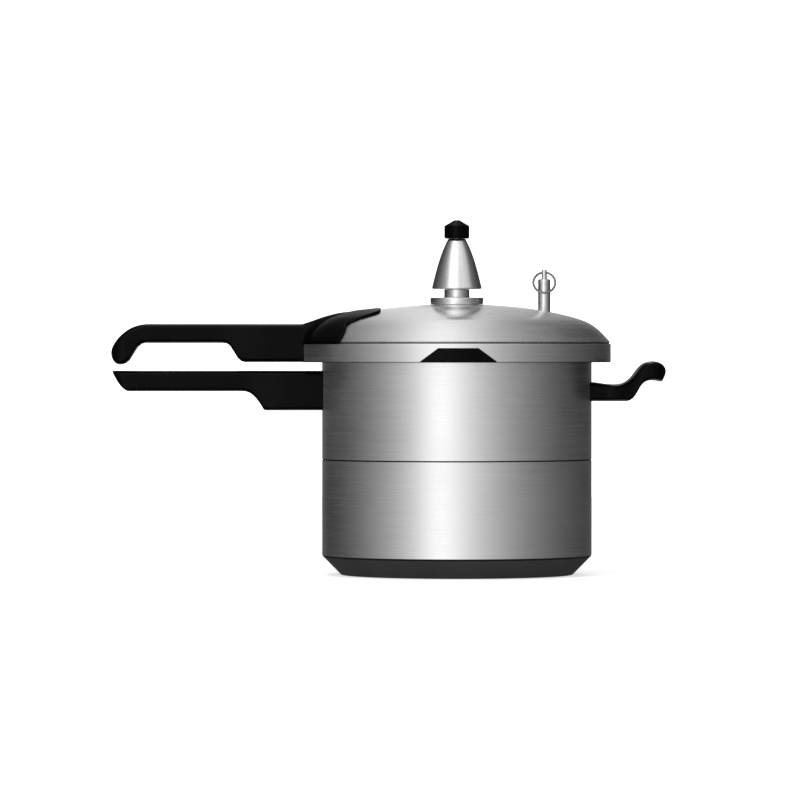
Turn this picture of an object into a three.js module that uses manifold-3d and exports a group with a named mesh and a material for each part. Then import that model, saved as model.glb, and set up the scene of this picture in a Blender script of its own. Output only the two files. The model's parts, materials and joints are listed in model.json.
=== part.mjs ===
// Stovetop pressure cooker: a deep pot with two handles, a bayonet lid with a domed top, a weight
// that sits on the vent pipe and a spring valve with a pull ring.
// Millimetres, +Z up. The origin is the centre of the base, the long handles point along -X.

import * as THREE from 'three';
import { mergeVertices } from 'three/addons/utils/BufferGeometryUtils.js';
import Module from 'manifold-3d';

const wasm = await Module();
wasm.setup();

// ---------------------------------------------------------------- driving dimensions

const gap = 0.3; // between pieces that touch
const rounds = 48; // facets round the pot and the lid
const smallRounds = 30; // facets round the turned small parts

const pot = {
  radius: 110, // outside of the wall
  flangeHeight: 176.8, // underside of the flange above the table
  wall: 1,
  grooveHeight: 94,
  grooveDepth: 0.5,
  grooveHalfWidth: 0.6,
};
const base = {
  height: 15.7, // top edge of the outer cap
  inset: 15.5, // how much smaller the foot is than the wall
  capWall: 1.2,
  coreThickness: 6,
};
const bayonet = {
  count: 4,
  widthDeg: 24,
  firstDeg: 45,
  flangeReach: 7, // flange beyond the wall
  lugReach: 12.6, // lugs beyond the wall
  thickness: 3.2,
  hookReach: 5.6, // hooks inwards from the skirt
  hookThickness: 3,
  axialPlay: 0.7, // between a lug and the hook under it
  radialPlay: 1.5, // between a lug and the skirt
};
const lid = {
  wall: 1.5,
  rimAboveFlange: 9.1, // top corner of the skirt above the flange
  domeHeight: 31.6,
  shoulderInset: 12.6, // where the dome turns into the sloping shoulder
};
const seal = { play: 0.6, height: 7.7, bandWidth: 5.5, lipWidth: 13.5, lipHeight: 2.6 };
const rimGuard = {
  bottomWidth: 63.3,
  topWidth: 32.2,
  height: 11.5,
  proud: 1,
  overlap: 1.8, // how far the plate covers the skirt round the window
};
const potHandle = {
  reach: 171.1, // beyond the wall
  topBelowFlange: 10.4,
  gripThickness: 16.9,
  rootDepth: 32.6,
  rootLength: 47,
  curveLength: 16.5,
  width: 34,
  gripWidth: 29,
};
const lidHandle = {
  reach: 156.7, // beyond the skirt
  topAboveRim: 15.4,
  gripThickness: 15.6,
  rootDepth: 31.2,
  rootLength: 47,
  noseDrop: 33.2, // top face to the lowest point of the nose
  width: 36,
  gripWidth: 30,
  saddleThickness: 2.4,
  saddleInner: 62, // distance of the saddle's inner edge from the pot's axis
  saddleHalfWidth: 65.5,
  saddleFlare: 18,
  saddleLip: 1,
  slopeLength: 35, // the arm rises over this length of the lid's shoulder
  crest: 0.37, // top of that rise above the saddle
};
const helper = { reach: 60, topBelowFlange: 19.7, thickness: 15.7, knobRise: 17, width: 46, knobWidth: 62 };
const bracket = { plate: 2.2, tongue: 3, tongueWidth: 16, plateWidth: 24 };
const screw = { shank: 2, head: 4, headHeight: 3.4, recess: 5 };
const vent = {
  baseRadius: 21.6,
  baseHeight: 225.9 - 220.7, // above the top of the dome
  footLip: 0.35,
  neckRadius: 10.3,
  neckHeight: 6.8,
  pipeRadius: 4.5,
  pipeShoulder: 0.8, // the pipe's collar beyond its radius
  boreRadius: 1.6,
  spigot: 10.8, // pipe above the neck
  washer: 2.5,
  nutHeight: 5.7,
  nutRadius: 9.8,
  guardRadius: 12,
  guardHeight: 8.7,
  guardWall: 1,
};
const weight = {
  skirtRadius: 20.4,
  height: 40.8,
  topRadius: 7.2,
  cavityPlay: 0.5, // round the shoulder of the pipe
  cavityHeight: 13.5,
  // the side's curve: share of the height, and share of the way from the top radius to the skirt radius
  side: [[0, 1], [0.27, 0.773], [0.515, 0.598], [0.794, 0.303], [1, 0]],
  needleRadius: 3,
  shankRadius: 2,
  studRadius: 3,
  studHeight: 7,
};
const cap = { radius: 10.25, height: 15, shoulder: 10.3, tipRadius: 2.3, bevel: 0.9 };
const valve = {
  offset: 71.3, // from the pot's axis
  radius: 5.1,
  aboveDome: 20.3, // top face above the top of the dome
  chamber: 3.6,
  seatBore: 2,
  plugHeight: 5,
  stemRadius: 2.2,
  rodRadius: 1.5,
  stemAbove: 7.8, // stem above the body
  eyeBelowTop: 2.3,
  eyeRadius: 1.4,
  nutHeight: 4.5,
  nutRadius: 8.6,
  washerRadius: 9.5,
  springTurns: 6,
  springWire: 0.4,
};
const ring = { radius: 8.9, wire: 0.95, tiltDeg: 21.5 };

// ---------------------------------------------------------------- derived dimensions

const flangeTop = pot.flangeHeight + bayonet.thickness;
const lugRadius = pot.radius + bayonet.lugReach;
const skirtInner = lugRadius + bayonet.radialPlay;
const lidRadius = skirtInner + lid.wall;
const skirtBottom = pot.flangeHeight - bayonet.axialPlay - bayonet.hookThickness;
const rimTop = flangeTop + lid.rimAboveFlange;
const domeTop = rimTop + lid.domeHeight;
const shoulderRadius = lidRadius - lid.shoulderInset;
const baseSlope = base.inset / base.height;
const baseSkew = Math.hypot(1, baseSlope);
const floorBottom = base.capWall + base.coreThickness + 2 * gap;
const ventHole = vent.pipeRadius + gap;
const ventTop = domeTop + vent.baseHeight;
const neckTop = ventTop + vent.neckHeight;
const pipeTop = neckTop + vent.spigot;
const weightBottom = neckTop + gap;
const capBottom = weightBottom + weight.height + gap;
const valveTop = domeTop + valve.aboveDome;
const eyeHeight = valveTop + valve.stemAbove - valve.eyeBelowTop;

// ---------------------------------------------------------------- solids and shapes

const v2 = (x, y) => new THREE.Vector2(x, y);
const degrees = (a) => THREE.MathUtils.degToRad(a);

// A closed geometry as a manifold-3d solid with its faces pointing out.
function solid(geometry) {
  const plain = geometry.index ? geometry.toNonIndexed() : geometry.clone();
  plain.deleteAttribute('normal');
  plain.deleteAttribute('uv');
  const merged = mergeVertices(plain, 1e-4);
  const corners = merged.index.array;
  const kept = [];
  for (let i = 0; i < corners.length; i += 3) {
    const [a, b, c] = corners.slice(i, i + 3);
    if (a !== b && b !== c && c !== a) kept.push(a, b, c);
  }
  const build = (list) => new wasm.Manifold(new wasm.Mesh({
    numProp: 3,
    vertProperties: new Float32Array(merged.attributes.position.array),
    triVerts: new Uint32Array(list),
  }));
  const made = build(kept);
  return made.volume() > 0 ? made : build(kept.reverse());
}

function geometryOf(made) {
  const mesh = made.getMesh();
  const position = new Float32Array(mesh.numVert * 3);
  for (let i = 0; i < mesh.numVert; i += 1) {
    const start = i * mesh.numProp;
    position.set(mesh.vertProperties.subarray(start, start + 3), i * 3);
  }
  const geometry = new THREE.BufferGeometry();
  geometry.setAttribute('position', new THREE.BufferAttribute(position, 3));
  geometry.setIndex(new THREE.BufferAttribute(new Uint32Array(mesh.triVerts), 1));
  geometry.computeVertexNormals();
  return geometry;
}

// A profile of [radius, height] pairs turned about the Z axis. It ends on the axis or closes on itself.
function turned(profile, segments = rounds) {
  const points = profile.map(([r, z]) => v2(r, z));
  const onAxis = points[0].x === 0 && points[points.length - 1].x === 0;
  if (!onAxis) points.push(points[0].clone());
  return solid(new THREE.LatheGeometry(points, segments).rotateX(Math.PI / 2));
}

// A flat outline in XY raised from z0 to z1.
function raised(shape, z0, z1, curveSegments = 8) {
  const options = { depth: z1 - z0, bevelEnabled: false, curveSegments };
  return solid(new THREE.ExtrudeGeometry(shape, options).translate(0, 0, z0));
}

// A ring sector between two radii, centred on an angle.
function sector(inner, outer, centreDeg, widthDeg, z0, z1) {
  const from = degrees(centreDeg - widthDeg / 2);
  const to = degrees(centreDeg + widthDeg / 2);
  const shape = new THREE.Shape();
  shape.absarc(0, 0, outer, from, to, false);
  shape.absarc(0, 0, inner, to, from, true);
  shape.closePath();
  return raised(shape, z0, z1, 5);
}

function box(x0, x1, halfY, z0, z1) {
  const geometry = new THREE.BoxGeometry(x1 - x0, 2 * halfY, z1 - z0);
  return solid(geometry.translate((x0 + x1) / 2, 0, (z0 + z1) / 2));
}

function cylinder(radius, z0, z1, segments = smallRounds) {
  const geometry = new THREE.CylinderGeometry(radius, radius, z1 - z0, segments);
  return solid(geometry.rotateX(Math.PI / 2).translate(0, 0, (z0 + z1) / 2));
}

// A hexagonal nut with a plain bore.
function nut(radius, bore, z0, z1) {
  return cylinder(radius, z0, z1, 6).subtract(cylinder(bore, z0 - 1, z1 + 1));
}

// An outline in XZ (x outwards, z up) given its thickness along Y, with rounded long edges.
function moulded(shape, width, edge, curveSegments = 7) {
  const options = {
    depth: width - 2 * edge,
    bevelEnabled: true,
    bevelThickness: edge,
    bevelSize: edge,
    bevelOffset: -edge,
    bevelSegments: 2,
    curveSegments,
  };
  return new THREE.ExtrudeGeometry(shape, options)
    .rotateX(Math.PI / 2)
    .translate(0, width / 2 - edge, 0);
}

// Scales the width of a moulding by a factor that depends on the distance outwards.
function shaped(geometry, factor) {
  const position = geometry.attributes.position;
  for (let i = 0; i < position.count; i += 1) {
    position.setY(i, position.getY(i) * factor(position.getX(i)));
  }
  return geometry;
}

const easeBetween = (x, from, to) => THREE.MathUtils.smoothstep(x, from, to);

// ---------------------------------------------------------------- the dome's surface

function domeHeightAt(r) {
  const ellipse = (x) => rimTop + lid.domeHeight * Math.sqrt(1 - (x / (lidRadius + 0.4)) ** 2);
  if (r <= shoulderRadius) return ellipse(r);
  const shoulderTop = ellipse(shoulderRadius);
  return shoulderTop + ((r - shoulderRadius) * (rimTop - shoulderTop)) / lid.shoulderInset;
}

// Height of a surface that lies the given distance above the dome, measured square to it.
function domeOffset(r, distance) {
  const step = 0.01;
  const at = Math.min(r, lidRadius - step);
  const slope = (domeHeightAt(at + step) - domeHeightAt(Math.max(at - step, 0))) / (2 * step);
  return domeHeightAt(r) + distance * Math.hypot(1, slope);
}

const domeStations = [0, 1, 2, 3, 4, 5, 6, 7, 8, 9].map((k) => shoulderRadius * Math.sin(degrees(10 * k)));

// Points of that surface from one radius to another, at the stations that every dome piece shares.
function domeLine(distance, from, to) {
  const between = domeStations.filter((r) => r > from + 0.5 && r < to - 0.5);
  return [from, ...between, to].map((r) => [r, domeOffset(r, distance)]);
}

// Everything under a surface the given distance above the lid, down past the skirt.
function underLid(distance) {
  const outer = lidRadius + distance;
  return turned([[0, skirtBottom - 20], [outer, skirtBottom - 20], [outer, rimTop + distance / 2],
    ...domeLine(distance, 0, lidRadius).reverse()]);
}

// ---------------------------------------------------------------- pot

function potShell() {
  const outerAt = (z) => pot.radius - base.inset + baseSlope * z - (base.capWall + gap) * baseSkew;
  const innerAt = (z) => outerAt(z) - pot.wall * baseSkew;
  const inside = pot.radius - pot.wall;
  const ledge = base.height + gap;
  const floorTop = floorBottom + pot.wall;
  const cornerHeight = ledge + pot.wall * 1.4;
  const body = turned([
    [0, floorBottom],
    [outerAt(floorBottom), floorBottom],
    [outerAt(ledge), ledge],
    [pot.radius, ledge],
    [pot.radius, pot.grooveHeight - pot.grooveHalfWidth],
    [pot.radius - pot.grooveDepth, pot.grooveHeight],
    [pot.radius, pot.grooveHeight + pot.grooveHalfWidth],
    [pot.radius, pot.flangeHeight - 2],
    [pot.radius + 2, pot.flangeHeight],
    [pot.radius + bayonet.flangeReach, pot.flangeHeight],
    [pot.radius + bayonet.flangeReach, flangeTop],
    [inside + 2, flangeTop],
    [inside, flangeTop - 2],
    [inside, cornerHeight],
    [innerAt(floorTop), floorTop],
    [0, floorTop],
  ]);
  return lugAngles().reduce((made, angle) => made.add(sector(
    pot.radius + bayonet.flangeReach - 2, lugRadius, angle, bayonet.widthDeg, pot.flangeHeight, flangeTop,
  )), body);
}

function lugAngles() {
  return Array.from({ length: bayonet.count }, (_, i) => bayonet.firstDeg + (360 / bayonet.count) * i);
}

function baseCap() {
  const foot = pot.radius - base.inset;
  const skew = base.capWall * baseSkew;
  return turned([[0, 0], [foot, 0], [pot.radius, base.height], [pot.radius - skew, base.height],
    [foot + baseSlope * base.capWall - skew, base.capWall], [0, base.capWall]]);
}

function baseCore() {
  const bottom = base.capWall + gap;
  const top = bottom + base.coreThickness;
  const edgeAt = (z) => pot.radius - base.inset + baseSlope * z - (base.capWall + gap) * baseSkew;
  return turned([[0, bottom], [edgeAt(bottom), bottom], [edgeAt(top), top], [0, top]]);
}

// ---------------------------------------------------------------- brackets and screws for handles

// A curved plate against the wall with a flat tongue that runs out into the handle.
function wallBracket(plateBottom, plateTop, tongueBottom, tongueEnd, clear) {
  const wallFace = pot.radius + gap;
  const plate = box(pot.radius - 5, wallFace + bracket.plate + clear, bracket.plateWidth / 2 + clear,
    plateBottom - clear, plateTop + clear);
  const tongue = box(wallFace + 1, tongueEnd + clear, bracket.tongueWidth / 2 + clear,
    tongueBottom - clear, tongueBottom + bracket.tongue + clear);
  const inside = clear > 0 ? pot.radius - 4 : wallFace;
  return plate.add(tongue).subtract(cylinder(inside, plateBottom - 5, plateTop + 5, rounds));
}

// The hole that a handle screw needs: a head recess from below and a bore for the shank.
function screwHole(x, bottom, top) {
  const recess = cylinder(screw.head + gap, bottom - 5, bottom + screw.recess, 16);
  const bore = cylinder(screw.shank + gap, bottom, top + gap, 16);
  return recess.add(bore).translate([x, 0, 0]);
}

function handleScrew(bottom, top) {
  const underHead = bottom + screw.recess - gap;
  const head = cylinder(screw.head, underHead - screw.headHeight, underHead, 16);
  const drive = cylinder(1.6, underHead - screw.headHeight - 1, underHead - 1.4, 6);
  return head.subtract(drive).add(cylinder(screw.shank, underHead - 0.5, top, 16));
}

// ---------------------------------------------------------------- pot handle, built along +X

const potHandleTop = pot.flangeHeight - potHandle.topBelowFlange;
const potHandleBottom = potHandleTop - potHandle.rootDepth;
const potTongueBottom = potHandleTop - potHandle.rootDepth * 0.55;
const potScrewAt = pot.radius + 28;
const potTongueEnd = pot.radius + 38;
const potScrewTop = potTongueBottom + bracket.tongue + 5;
const potPlateBottom = potHandleBottom + 5;
const potPlateTop = potHandleTop - 5;

function potHandleOutline() {
  const tip = pot.radius + potHandle.reach;
  const root = pot.radius + potHandle.rootLength;
  const under = potHandleTop - potHandle.gripThickness;
  const shape = new THREE.Shape();
  shape.moveTo(pot.radius - 8, potHandleBottom);
  shape.lineTo(root, potHandleBottom);
  shape.bezierCurveTo(root + 5, under - 7, root + 10, under, root + potHandle.curveLength, under);
  shape.lineTo(tip - 14, under);
  shape.bezierCurveTo(tip - 9, under, tip - 4, under + 7.5, tip, potHandleTop);
  shape.lineTo(pot.radius - 8, potHandleTop);
  shape.closePath();
  return shape;
}

function potHandleSolid() {
  const tip = pot.radius + potHandle.reach;
  const rootEnd = pot.radius + potHandle.rootLength;
  const narrow = potHandle.gripWidth / potHandle.width;
  const factor = (x) => 1 + (narrow - 1) * easeBetween(x, rootEnd - 20, rootEnd + 20)
    - 0.3 * easeBetween(x, tip - 14, tip);
  const made = solid(shaped(moulded(potHandleOutline(), potHandle.width, 3), factor));
  return made
    .subtract(cylinder(pot.radius + gap, potHandleBottom - 5, potHandleTop + 5, rounds))
    .subtract(wallBracket(potPlateBottom, potPlateTop, potTongueBottom, potTongueEnd, gap))
    .subtract(screwHole(potScrewAt, potHandleBottom, potScrewTop));
}

function potBracketSolid() {
  return wallBracket(potPlateBottom, potPlateTop, potTongueBottom, potTongueEnd, 0)
    .subtract(cylinder(screw.shank + gap, potHandleBottom, potHandleTop, 16).translate([potScrewAt, 0, 0]));
}

// ---------------------------------------------------------------- helper handle, built along +X

const helperTop = pot.flangeHeight - helper.topBelowFlange;
const helperBottom = helperTop - helper.thickness;
const helperTongueBottom = helperBottom + 6.2;
const helperScrewAt = pot.radius + 17;
const helperTongueEnd = pot.radius + 25;
const helperScrewTop = helperTongueBottom + bracket.tongue + 2;
const helperPlateBottom = helperBottom + 2.5;
const helperPlateTop = helperTop - 3;

function helperOutline() {
  const wall = pot.radius;
  const end = wall + helper.reach;
  const knobTop = helperTop + helper.knobRise;
  const shape = new THREE.Shape();
  shape.moveTo(wall - 8, helperBottom);
  shape.lineTo(end - 33, helperBottom);
  shape.bezierCurveTo(end - 22, helperBottom, end - 24, helperTop + 0.5, end - 13, helperTop + 1.3);
  shape.bezierCurveTo(end - 9, helperTop + 1.3, end - 6, helperTop + 0.8, end - 3.7, helperTop + 0.1);
  shape.bezierCurveTo(end - 1.5, helperTop + 2.5, end, helperTop + 6.5, end, helperTop + 9);
  shape.bezierCurveTo(end, helperTop + 13.5, end - 4.5, knobTop, end - 11, knobTop);
  shape.bezierCurveTo(end - 26, knobTop, end - 23, helperTop - 1.8, end - 42, helperTop - 1.8);
  shape.bezierCurveTo(end - 50, helperTop - 1.8, end - 56, helperTop, wall, helperTop);
  shape.lineTo(wall - 8, helperTop);
  shape.closePath();
  return shape;
}

function helperSolid() {
  const wide = helper.knobWidth / helper.width;
  const factor = (x) => 1 + (wide - 1) * easeBetween(x, pot.radius + 10, pot.radius + helper.reach - 15)
    - 0.16 * easeBetween(x, pot.radius + helper.reach - 7, pot.radius + helper.reach);
  return solid(shaped(moulded(helperOutline(), helper.width, 2.5, 5), factor))
    .subtract(cylinder(pot.radius + gap, helperBottom - 5, helperTop + 5, rounds))
    .subtract(wallBracket(helperPlateBottom, helperPlateTop, helperTongueBottom, helperTongueEnd, gap))
    .subtract(screwHole(helperScrewAt, helperBottom, helperScrewTop));
}

function helperBracketSolid() {
  const hole = cylinder(screw.shank + gap, helperBottom, helperTop, 16).translate([helperScrewAt, 0, 0]);
  return wallBracket(helperPlateBottom, helperPlateTop, helperTongueBottom, helperTongueEnd, 0).subtract(hole);
}

// ---------------------------------------------------------------- lid shell and its rim

const windowCentreDeg = -90;
const windowWall = [skirtInner - 4, lidRadius + 4];

// A trapezoid in the plane of the skirt's front, pushed through the skirt along Y.
function windowPrism(inset, bottom) {
  const low = rimGuard.bottomWidth / 2 - inset;
  const high = rimGuard.topWidth / 2 - inset;
  const top = skirtBottom + rimGuard.height - inset;
  const spread = ((low - high) * (skirtBottom - bottom)) / rimGuard.height;
  const shape = new THREE.Shape([v2(-low - spread, bottom), v2(low + spread, bottom), v2(high, top), v2(-high, top)]);
  const options = { depth: windowWall[1] - windowWall[0], bevelEnabled: false };
  return solid(new THREE.ExtrudeGeometry(shape, options).rotateX(Math.PI / 2).translate(0, -windowWall[0], 0))
    .rotate([0, 0, windowCentreDeg + 90]);
}

function lidShell() {
  const top = domeLine(0, ventHole, lidRadius);
  const underside = domeLine(-lid.wall, ventHole, skirtInner).reverse();
  const shell = turned([...top, [lidRadius, skirtBottom], [skirtInner, skirtBottom], ...underside]);
  const hookInner = skirtInner - bayonet.hookReach;
  const hooked = lugAngles().reduce((made, angle) => made.add(sector(hookInner, skirtInner + lid.wall / 3,
    angle, bayonet.widthDeg, skirtBottom, skirtBottom + bayonet.hookThickness)), shell);
  const valveHole = cylinder(valve.radius + gap, rimTop, domeTop + 5).translate([valve.offset, 0, 0]);
  return hooked.subtract(windowPrism(rimGuard.overlap, skirtBottom - 1)).subtract(valveHole);
}

function tube(inner, outer, z0, z1) {
  return turned([[inner, z0], [outer, z0], [outer, z1], [inner, z1]]);
}

// The plate covers the window from outside, and the boss behind it fills the window.
function rimGuardSolid() {
  const top = skirtBottom + rimGuard.height;
  const face = lidRadius + gap;
  const plate = tube(face, face + rimGuard.proud, skirtBottom, top + 1).intersect(windowPrism(0, skirtBottom));
  const boss = tube(skirtInner + 0.2, face + rimGuard.proud / 2, skirtBottom, top)
    .intersect(windowPrism(rimGuard.overlap + gap, skirtBottom));
  return plate.add(boss);
}

function gasketSolid() {
  const outer = skirtInner - seal.play;
  const bottom = flangeTop + gap;
  const top = bottom + seal.height;
  const band = outer - seal.bandWidth;
  return turned([
    [outer, bottom], [outer, top], [outer - 2.5, top + 0.6], [band, top - 2],
    [band - 1, bottom + seal.lipHeight + 1.4], [outer - seal.lipWidth + 1.5, bottom + seal.lipHeight],
    [outer - seal.lipWidth, bottom + seal.lipHeight / 2], [outer - seal.lipWidth + 0.5, bottom],
  ]);
}

// ---------------------------------------------------------------- lid handle, built along +X

const lidHandleTop = rimTop + lidHandle.topAboveRim;
const lidHandleBottom = lidHandleTop - lidHandle.rootDepth;
const slopeStart = lidRadius - lidHandle.slopeLength;
const slopeTop = domeOffset(slopeStart, gap + lidHandle.saddleThickness) + lidHandle.crest;
const lidTongueBottom = rimTop + 5;
const lidTongueEnd = lidRadius + 38;
const lidScrewsAt = [lidRadius + 12, lidRadius + 32];
const lidScrewTop = lidTongueBottom + bracket.tongue + 5;

function lidHandleOutline() {
  const end = lidRadius + lidHandle.reach;
  const root = lidRadius + lidHandle.rootLength;
  const under = lidHandleTop - lidHandle.gripThickness;
  const low = lidHandleTop - lidHandle.noseDrop;
  const inner = lidHandle.saddleInner;
  const shape = new THREE.Shape();
  shape.moveTo(inner, rimTop);
  shape.lineTo(lidRadius - 10, lidHandleBottom);
  shape.lineTo(root, lidHandleBottom);
  shape.bezierCurveTo(root + 9, lidHandleBottom, root + 9, under, root + 17, under);
  shape.lineTo(end - 29, under);
  shape.bezierCurveTo(end - 17, under, end - 20, low, end - 7.5, low);
  shape.bezierCurveTo(end - 2, low, end + 1.6, low + 8, end - 1.6, low + 15);
  shape.bezierCurveTo(end - 7, low + 25, end - 17, lidHandleTop, end - 31, lidHandleTop);
  shape.lineTo(lidRadius, lidHandleTop);
  shape.bezierCurveTo(lidRadius - 11, lidHandleTop + 3.5, lidRadius - 22, slopeTop - 1.3, slopeStart, slopeTop);
  shape.lineTo(inner, domeOffset(inner, gap) + 0.6);
  shape.closePath();
  return shape;
}

// The saddle's outline from above: straight sides that flare out to the lid's rim.
function saddleOutline() {
  const wide = lidHandle.saddleHalfWidth;
  const inner = lidHandle.saddleInner;
  const flareAt = lidRadius - 36;
  const beyond = lidRadius + 10;
  const flared = wide + lidHandle.saddleFlare;
  const shape = new THREE.Shape();
  shape.moveTo(inner, -(wide - 20));
  shape.quadraticCurveTo(inner + 0.5, -wide, inner + 16, -wide);
  shape.lineTo(flareAt, -wide);
  shape.quadraticCurveTo(flareAt + 5, -wide, flareAt + 7, -flared);
  shape.lineTo(beyond, -flared);
  shape.lineTo(beyond, flared);
  shape.lineTo(flareAt + 7, flared);
  shape.quadraticCurveTo(flareAt + 5, wide, flareAt, wide);
  shape.lineTo(inner + 16, wide);
  shape.quadraticCurveTo(inner + 0.5, wide, inner, wide - 20);
  shape.closePath();
  return shape;
}

// A thin shell over the shoulder of the lid, with a small lip over the skirt's top corner.
function saddleSolid() {
  const thick = gap + lidHandle.saddleThickness;
  const inner = lidHandle.saddleInner;
  const lip = lidRadius + gap + lidHandle.saddleLip;
  const shell = turned([...domeLine(gap, inner, lidRadius), [lidRadius + gap, rimTop + gap / 2],
    [lidRadius + gap, rimTop - 1], [lip, rimTop - 1], [lip, rimTop + 1.5],
    ...domeLine(thick, inner, lidRadius - 1).reverse()]);
  const tipTop = domeOffset(inner, gap) + 0.7;
  const below = new THREE.Shape([v2(inner - 2, rimTop - 20), v2(lidRadius + 20, rimTop - 20),
    v2(lidRadius + 20, slopeTop + 2.2), v2(slopeStart, slopeTop + 0.5), v2(inner + 1, tipTop), v2(inner - 2, tipTop)]);
  const trim = new THREE.ExtrudeGeometry(below, { depth: 200, bevelEnabled: false })
    .rotateX(Math.PI / 2).translate(0, 100, 0);
  return shell.intersect(raised(saddleOutline(), rimTop - 5, domeTop + 5)).intersect(solid(trim));
}

// A strip bent over the shoulder of the lid, with a flat tongue out into the handle.
function lidBracket(clear) {
  const low = clear > 0 ? 0.05 : gap;
  const strip = turned([...domeLine(low, shoulderRadius + 2 - clear, lidRadius - 1),
    ...domeLine(gap + bracket.plate + clear, shoulderRadius + 2 - clear, lidRadius - 1).reverse()]);
  const patch = strip.intersect(box(shoulderRadius - 20, lidRadius, bracket.plateWidth / 2 + clear,
    rimTop - 5, domeTop));
  const tongue = box(lidRadius - 9, lidTongueEnd + clear, bracket.tongueWidth / 2 + clear,
    lidTongueBottom - clear, lidTongueBottom + bracket.tongue + clear);
  return patch.add(tongue).subtract(underLid(low));
}

function lidHandleSolid() {
  const end = lidRadius + lidHandle.reach;
  const narrow = lidHandle.gripWidth / lidHandle.width;
  const factor = (x) => 1 + (narrow - 1) * easeBetween(x, lidRadius + 25, lidRadius + 75)
    - 0.3 * easeBetween(x, end - 12, end);
  const arm = solid(shaped(moulded(lidHandleOutline(), lidHandle.width, 3, 6), factor));
  const made = arm.subtract(underLid(gap)).add(saddleSolid()).subtract(lidBracket(gap));
  return lidScrewsAt.reduce((rest, x) => rest.subtract(screwHole(x, lidHandleBottom, lidScrewTop)), made);
}

function lidBracketSolid() {
  return lidScrewsAt.reduce((made, x) => made.subtract(
    cylinder(screw.shank + gap, lidHandleBottom, lidHandleTop, 16).translate([x, 0, 0]),
  ), lidBracket(0));
}

// ---------------------------------------------------------------- vent and weight, on the pot's axis

const ventWasherTop = domeOffset(vent.guardRadius, -lid.wall) - gap;
const ventNutTop = ventWasherTop - vent.washer - gap;
const ventGuardTop = ventNutTop - vent.nutHeight - gap;
const pipeBottom = ventGuardTop - vent.guardWall - 2.5;

function ventBase() {
  const foot = vent.baseRadius + vent.footLip;
  const footTop = domeTop + 1;
  return turned([...domeLine(gap, ventHole, foot), [foot, footTop], [vent.baseRadius, footTop + 0.5],
    [vent.baseRadius, ventTop - 0.5], [vent.baseRadius - 0.5, ventTop], [vent.neckRadius, ventTop],
    [vent.neckRadius, neckTop], [ventHole, neckTop]], 36);
}

function ventPipe() {
  const shoulder = vent.pipeRadius + vent.pipeShoulder;
  return turned([[vent.boreRadius, pipeBottom], [vent.pipeRadius, pipeBottom], [vent.pipeRadius, neckTop + gap],
    [shoulder, neckTop + gap], [shoulder, neckTop + 2.5], [vent.pipeRadius, neckTop + 3],
    [vent.pipeRadius, pipeTop - 1], [vent.pipeRadius - 1, pipeTop], [vent.boreRadius, pipeTop]], smallRounds);
}

function ventWasher() {
  return turned([[ventHole, ventWasherTop - vent.washer], [vent.guardRadius - 1, ventWasherTop - vent.washer],
    [vent.guardRadius - 1, ventWasherTop], [ventHole, ventWasherTop]], smallRounds);
}

// A cup round the inner end of the pipe, with slots that keep food out of the bore.
function ventGuard() {
  const inside = vent.guardRadius - vent.guardWall;
  const bottom = ventGuardTop - vent.guardHeight;
  const cup = turned([[0, bottom], [vent.guardRadius, bottom], [vent.guardRadius, ventGuardTop],
    [ventHole, ventGuardTop], [ventHole, ventGuardTop - vent.guardWall], [inside, ventGuardTop - vent.guardWall],
    [inside, bottom + vent.guardWall], [0, bottom + vent.guardWall]], smallRounds);
  return [0, 45, 90, 135].reduce((made, angle) => made.subtract(
    box(-vent.guardRadius - 5, vent.guardRadius + 5, 1.4, bottom + 2, ventGuardTop - 2).rotate([0, 0, angle]),
  ), cup);
}

function weightBody() {
  const top = weightBottom + weight.height;
  const cavity = vent.pipeRadius + vent.pipeShoulder + weight.cavityPlay;
  const side = new THREE.SplineCurve(weight.side.map(([rise, share]) => v2(
    weight.topRadius + (weight.skirtRadius - weight.topRadius) * share, weightBottom + weight.height * rise,
  )));
  const roof = weightBottom + weight.cavityHeight;
  const bore = weight.shankRadius + gap;
  return turned([[cavity, weightBottom], ...side.getPoints(9).map((p) => [p.x, p.y]),
    [weight.studRadius, top], [weight.studRadius, top + weight.studHeight], [0, top + weight.studHeight],
    [0, roof + 6], [bore, roof + 6], [bore, roof], [cavity, roof]], 36);
}

// The cone's side passes the rim of the bore at the gap.
function weightNeedle() {
  const seat = vent.boreRadius - gap;
  const collarTop = weightBottom + weight.cavityHeight - gap;
  const flare = (collarTop - 0.8 - pipeTop) / (weight.needleRadius - seat);
  const tip = 0.4;
  return turned([[0, pipeTop - (seat - tip) * flare], [tip, pipeTop - (seat - tip) * flare],
    [weight.needleRadius, collarTop - 0.8], [weight.needleRadius, collarTop], [weight.shankRadius, collarTop],
    [weight.shankRadius, collarTop + 6], [0, collarTop + 6]], smallRounds);
}

function weightCap() {
  const hole = weight.studRadius + gap;
  const roof = capBottom + weight.studHeight;
  return turned([[0, roof], [hole, roof], [hole, capBottom], [cap.radius - cap.bevel, capBottom],
    [cap.radius, capBottom + cap.bevel], [cap.radius, capBottom + cap.shoulder],
    [cap.tipRadius, capBottom + cap.height], [0, capBottom + cap.height]], 36);
}

// ---------------------------------------------------------------- spring valve, on its own axis

const valveUnderside = domeOffset(valve.offset + valve.washerRadius, -lid.wall);
const valveNutTop = valveUnderside - 3.5;
const valveBottom = valveNutTop - valve.nutHeight - 1;
const seatTop = valveNutTop + 3;
const collarBottom = seatTop + 2.3;
const collarTop = collarBottom + 2.5;
const plugBottom = valveTop - valve.plugHeight;

function valveBody() {
  return turned([[valve.seatBore, valveBottom], [valve.radius, valveBottom], [valve.radius, valveTop - 0.4],
    [valve.radius - 0.4, valveTop], [valve.chamber, valveTop], [valve.chamber, seatTop],
    [valve.seatBore, seatTop]], smallRounds);
}

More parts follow.
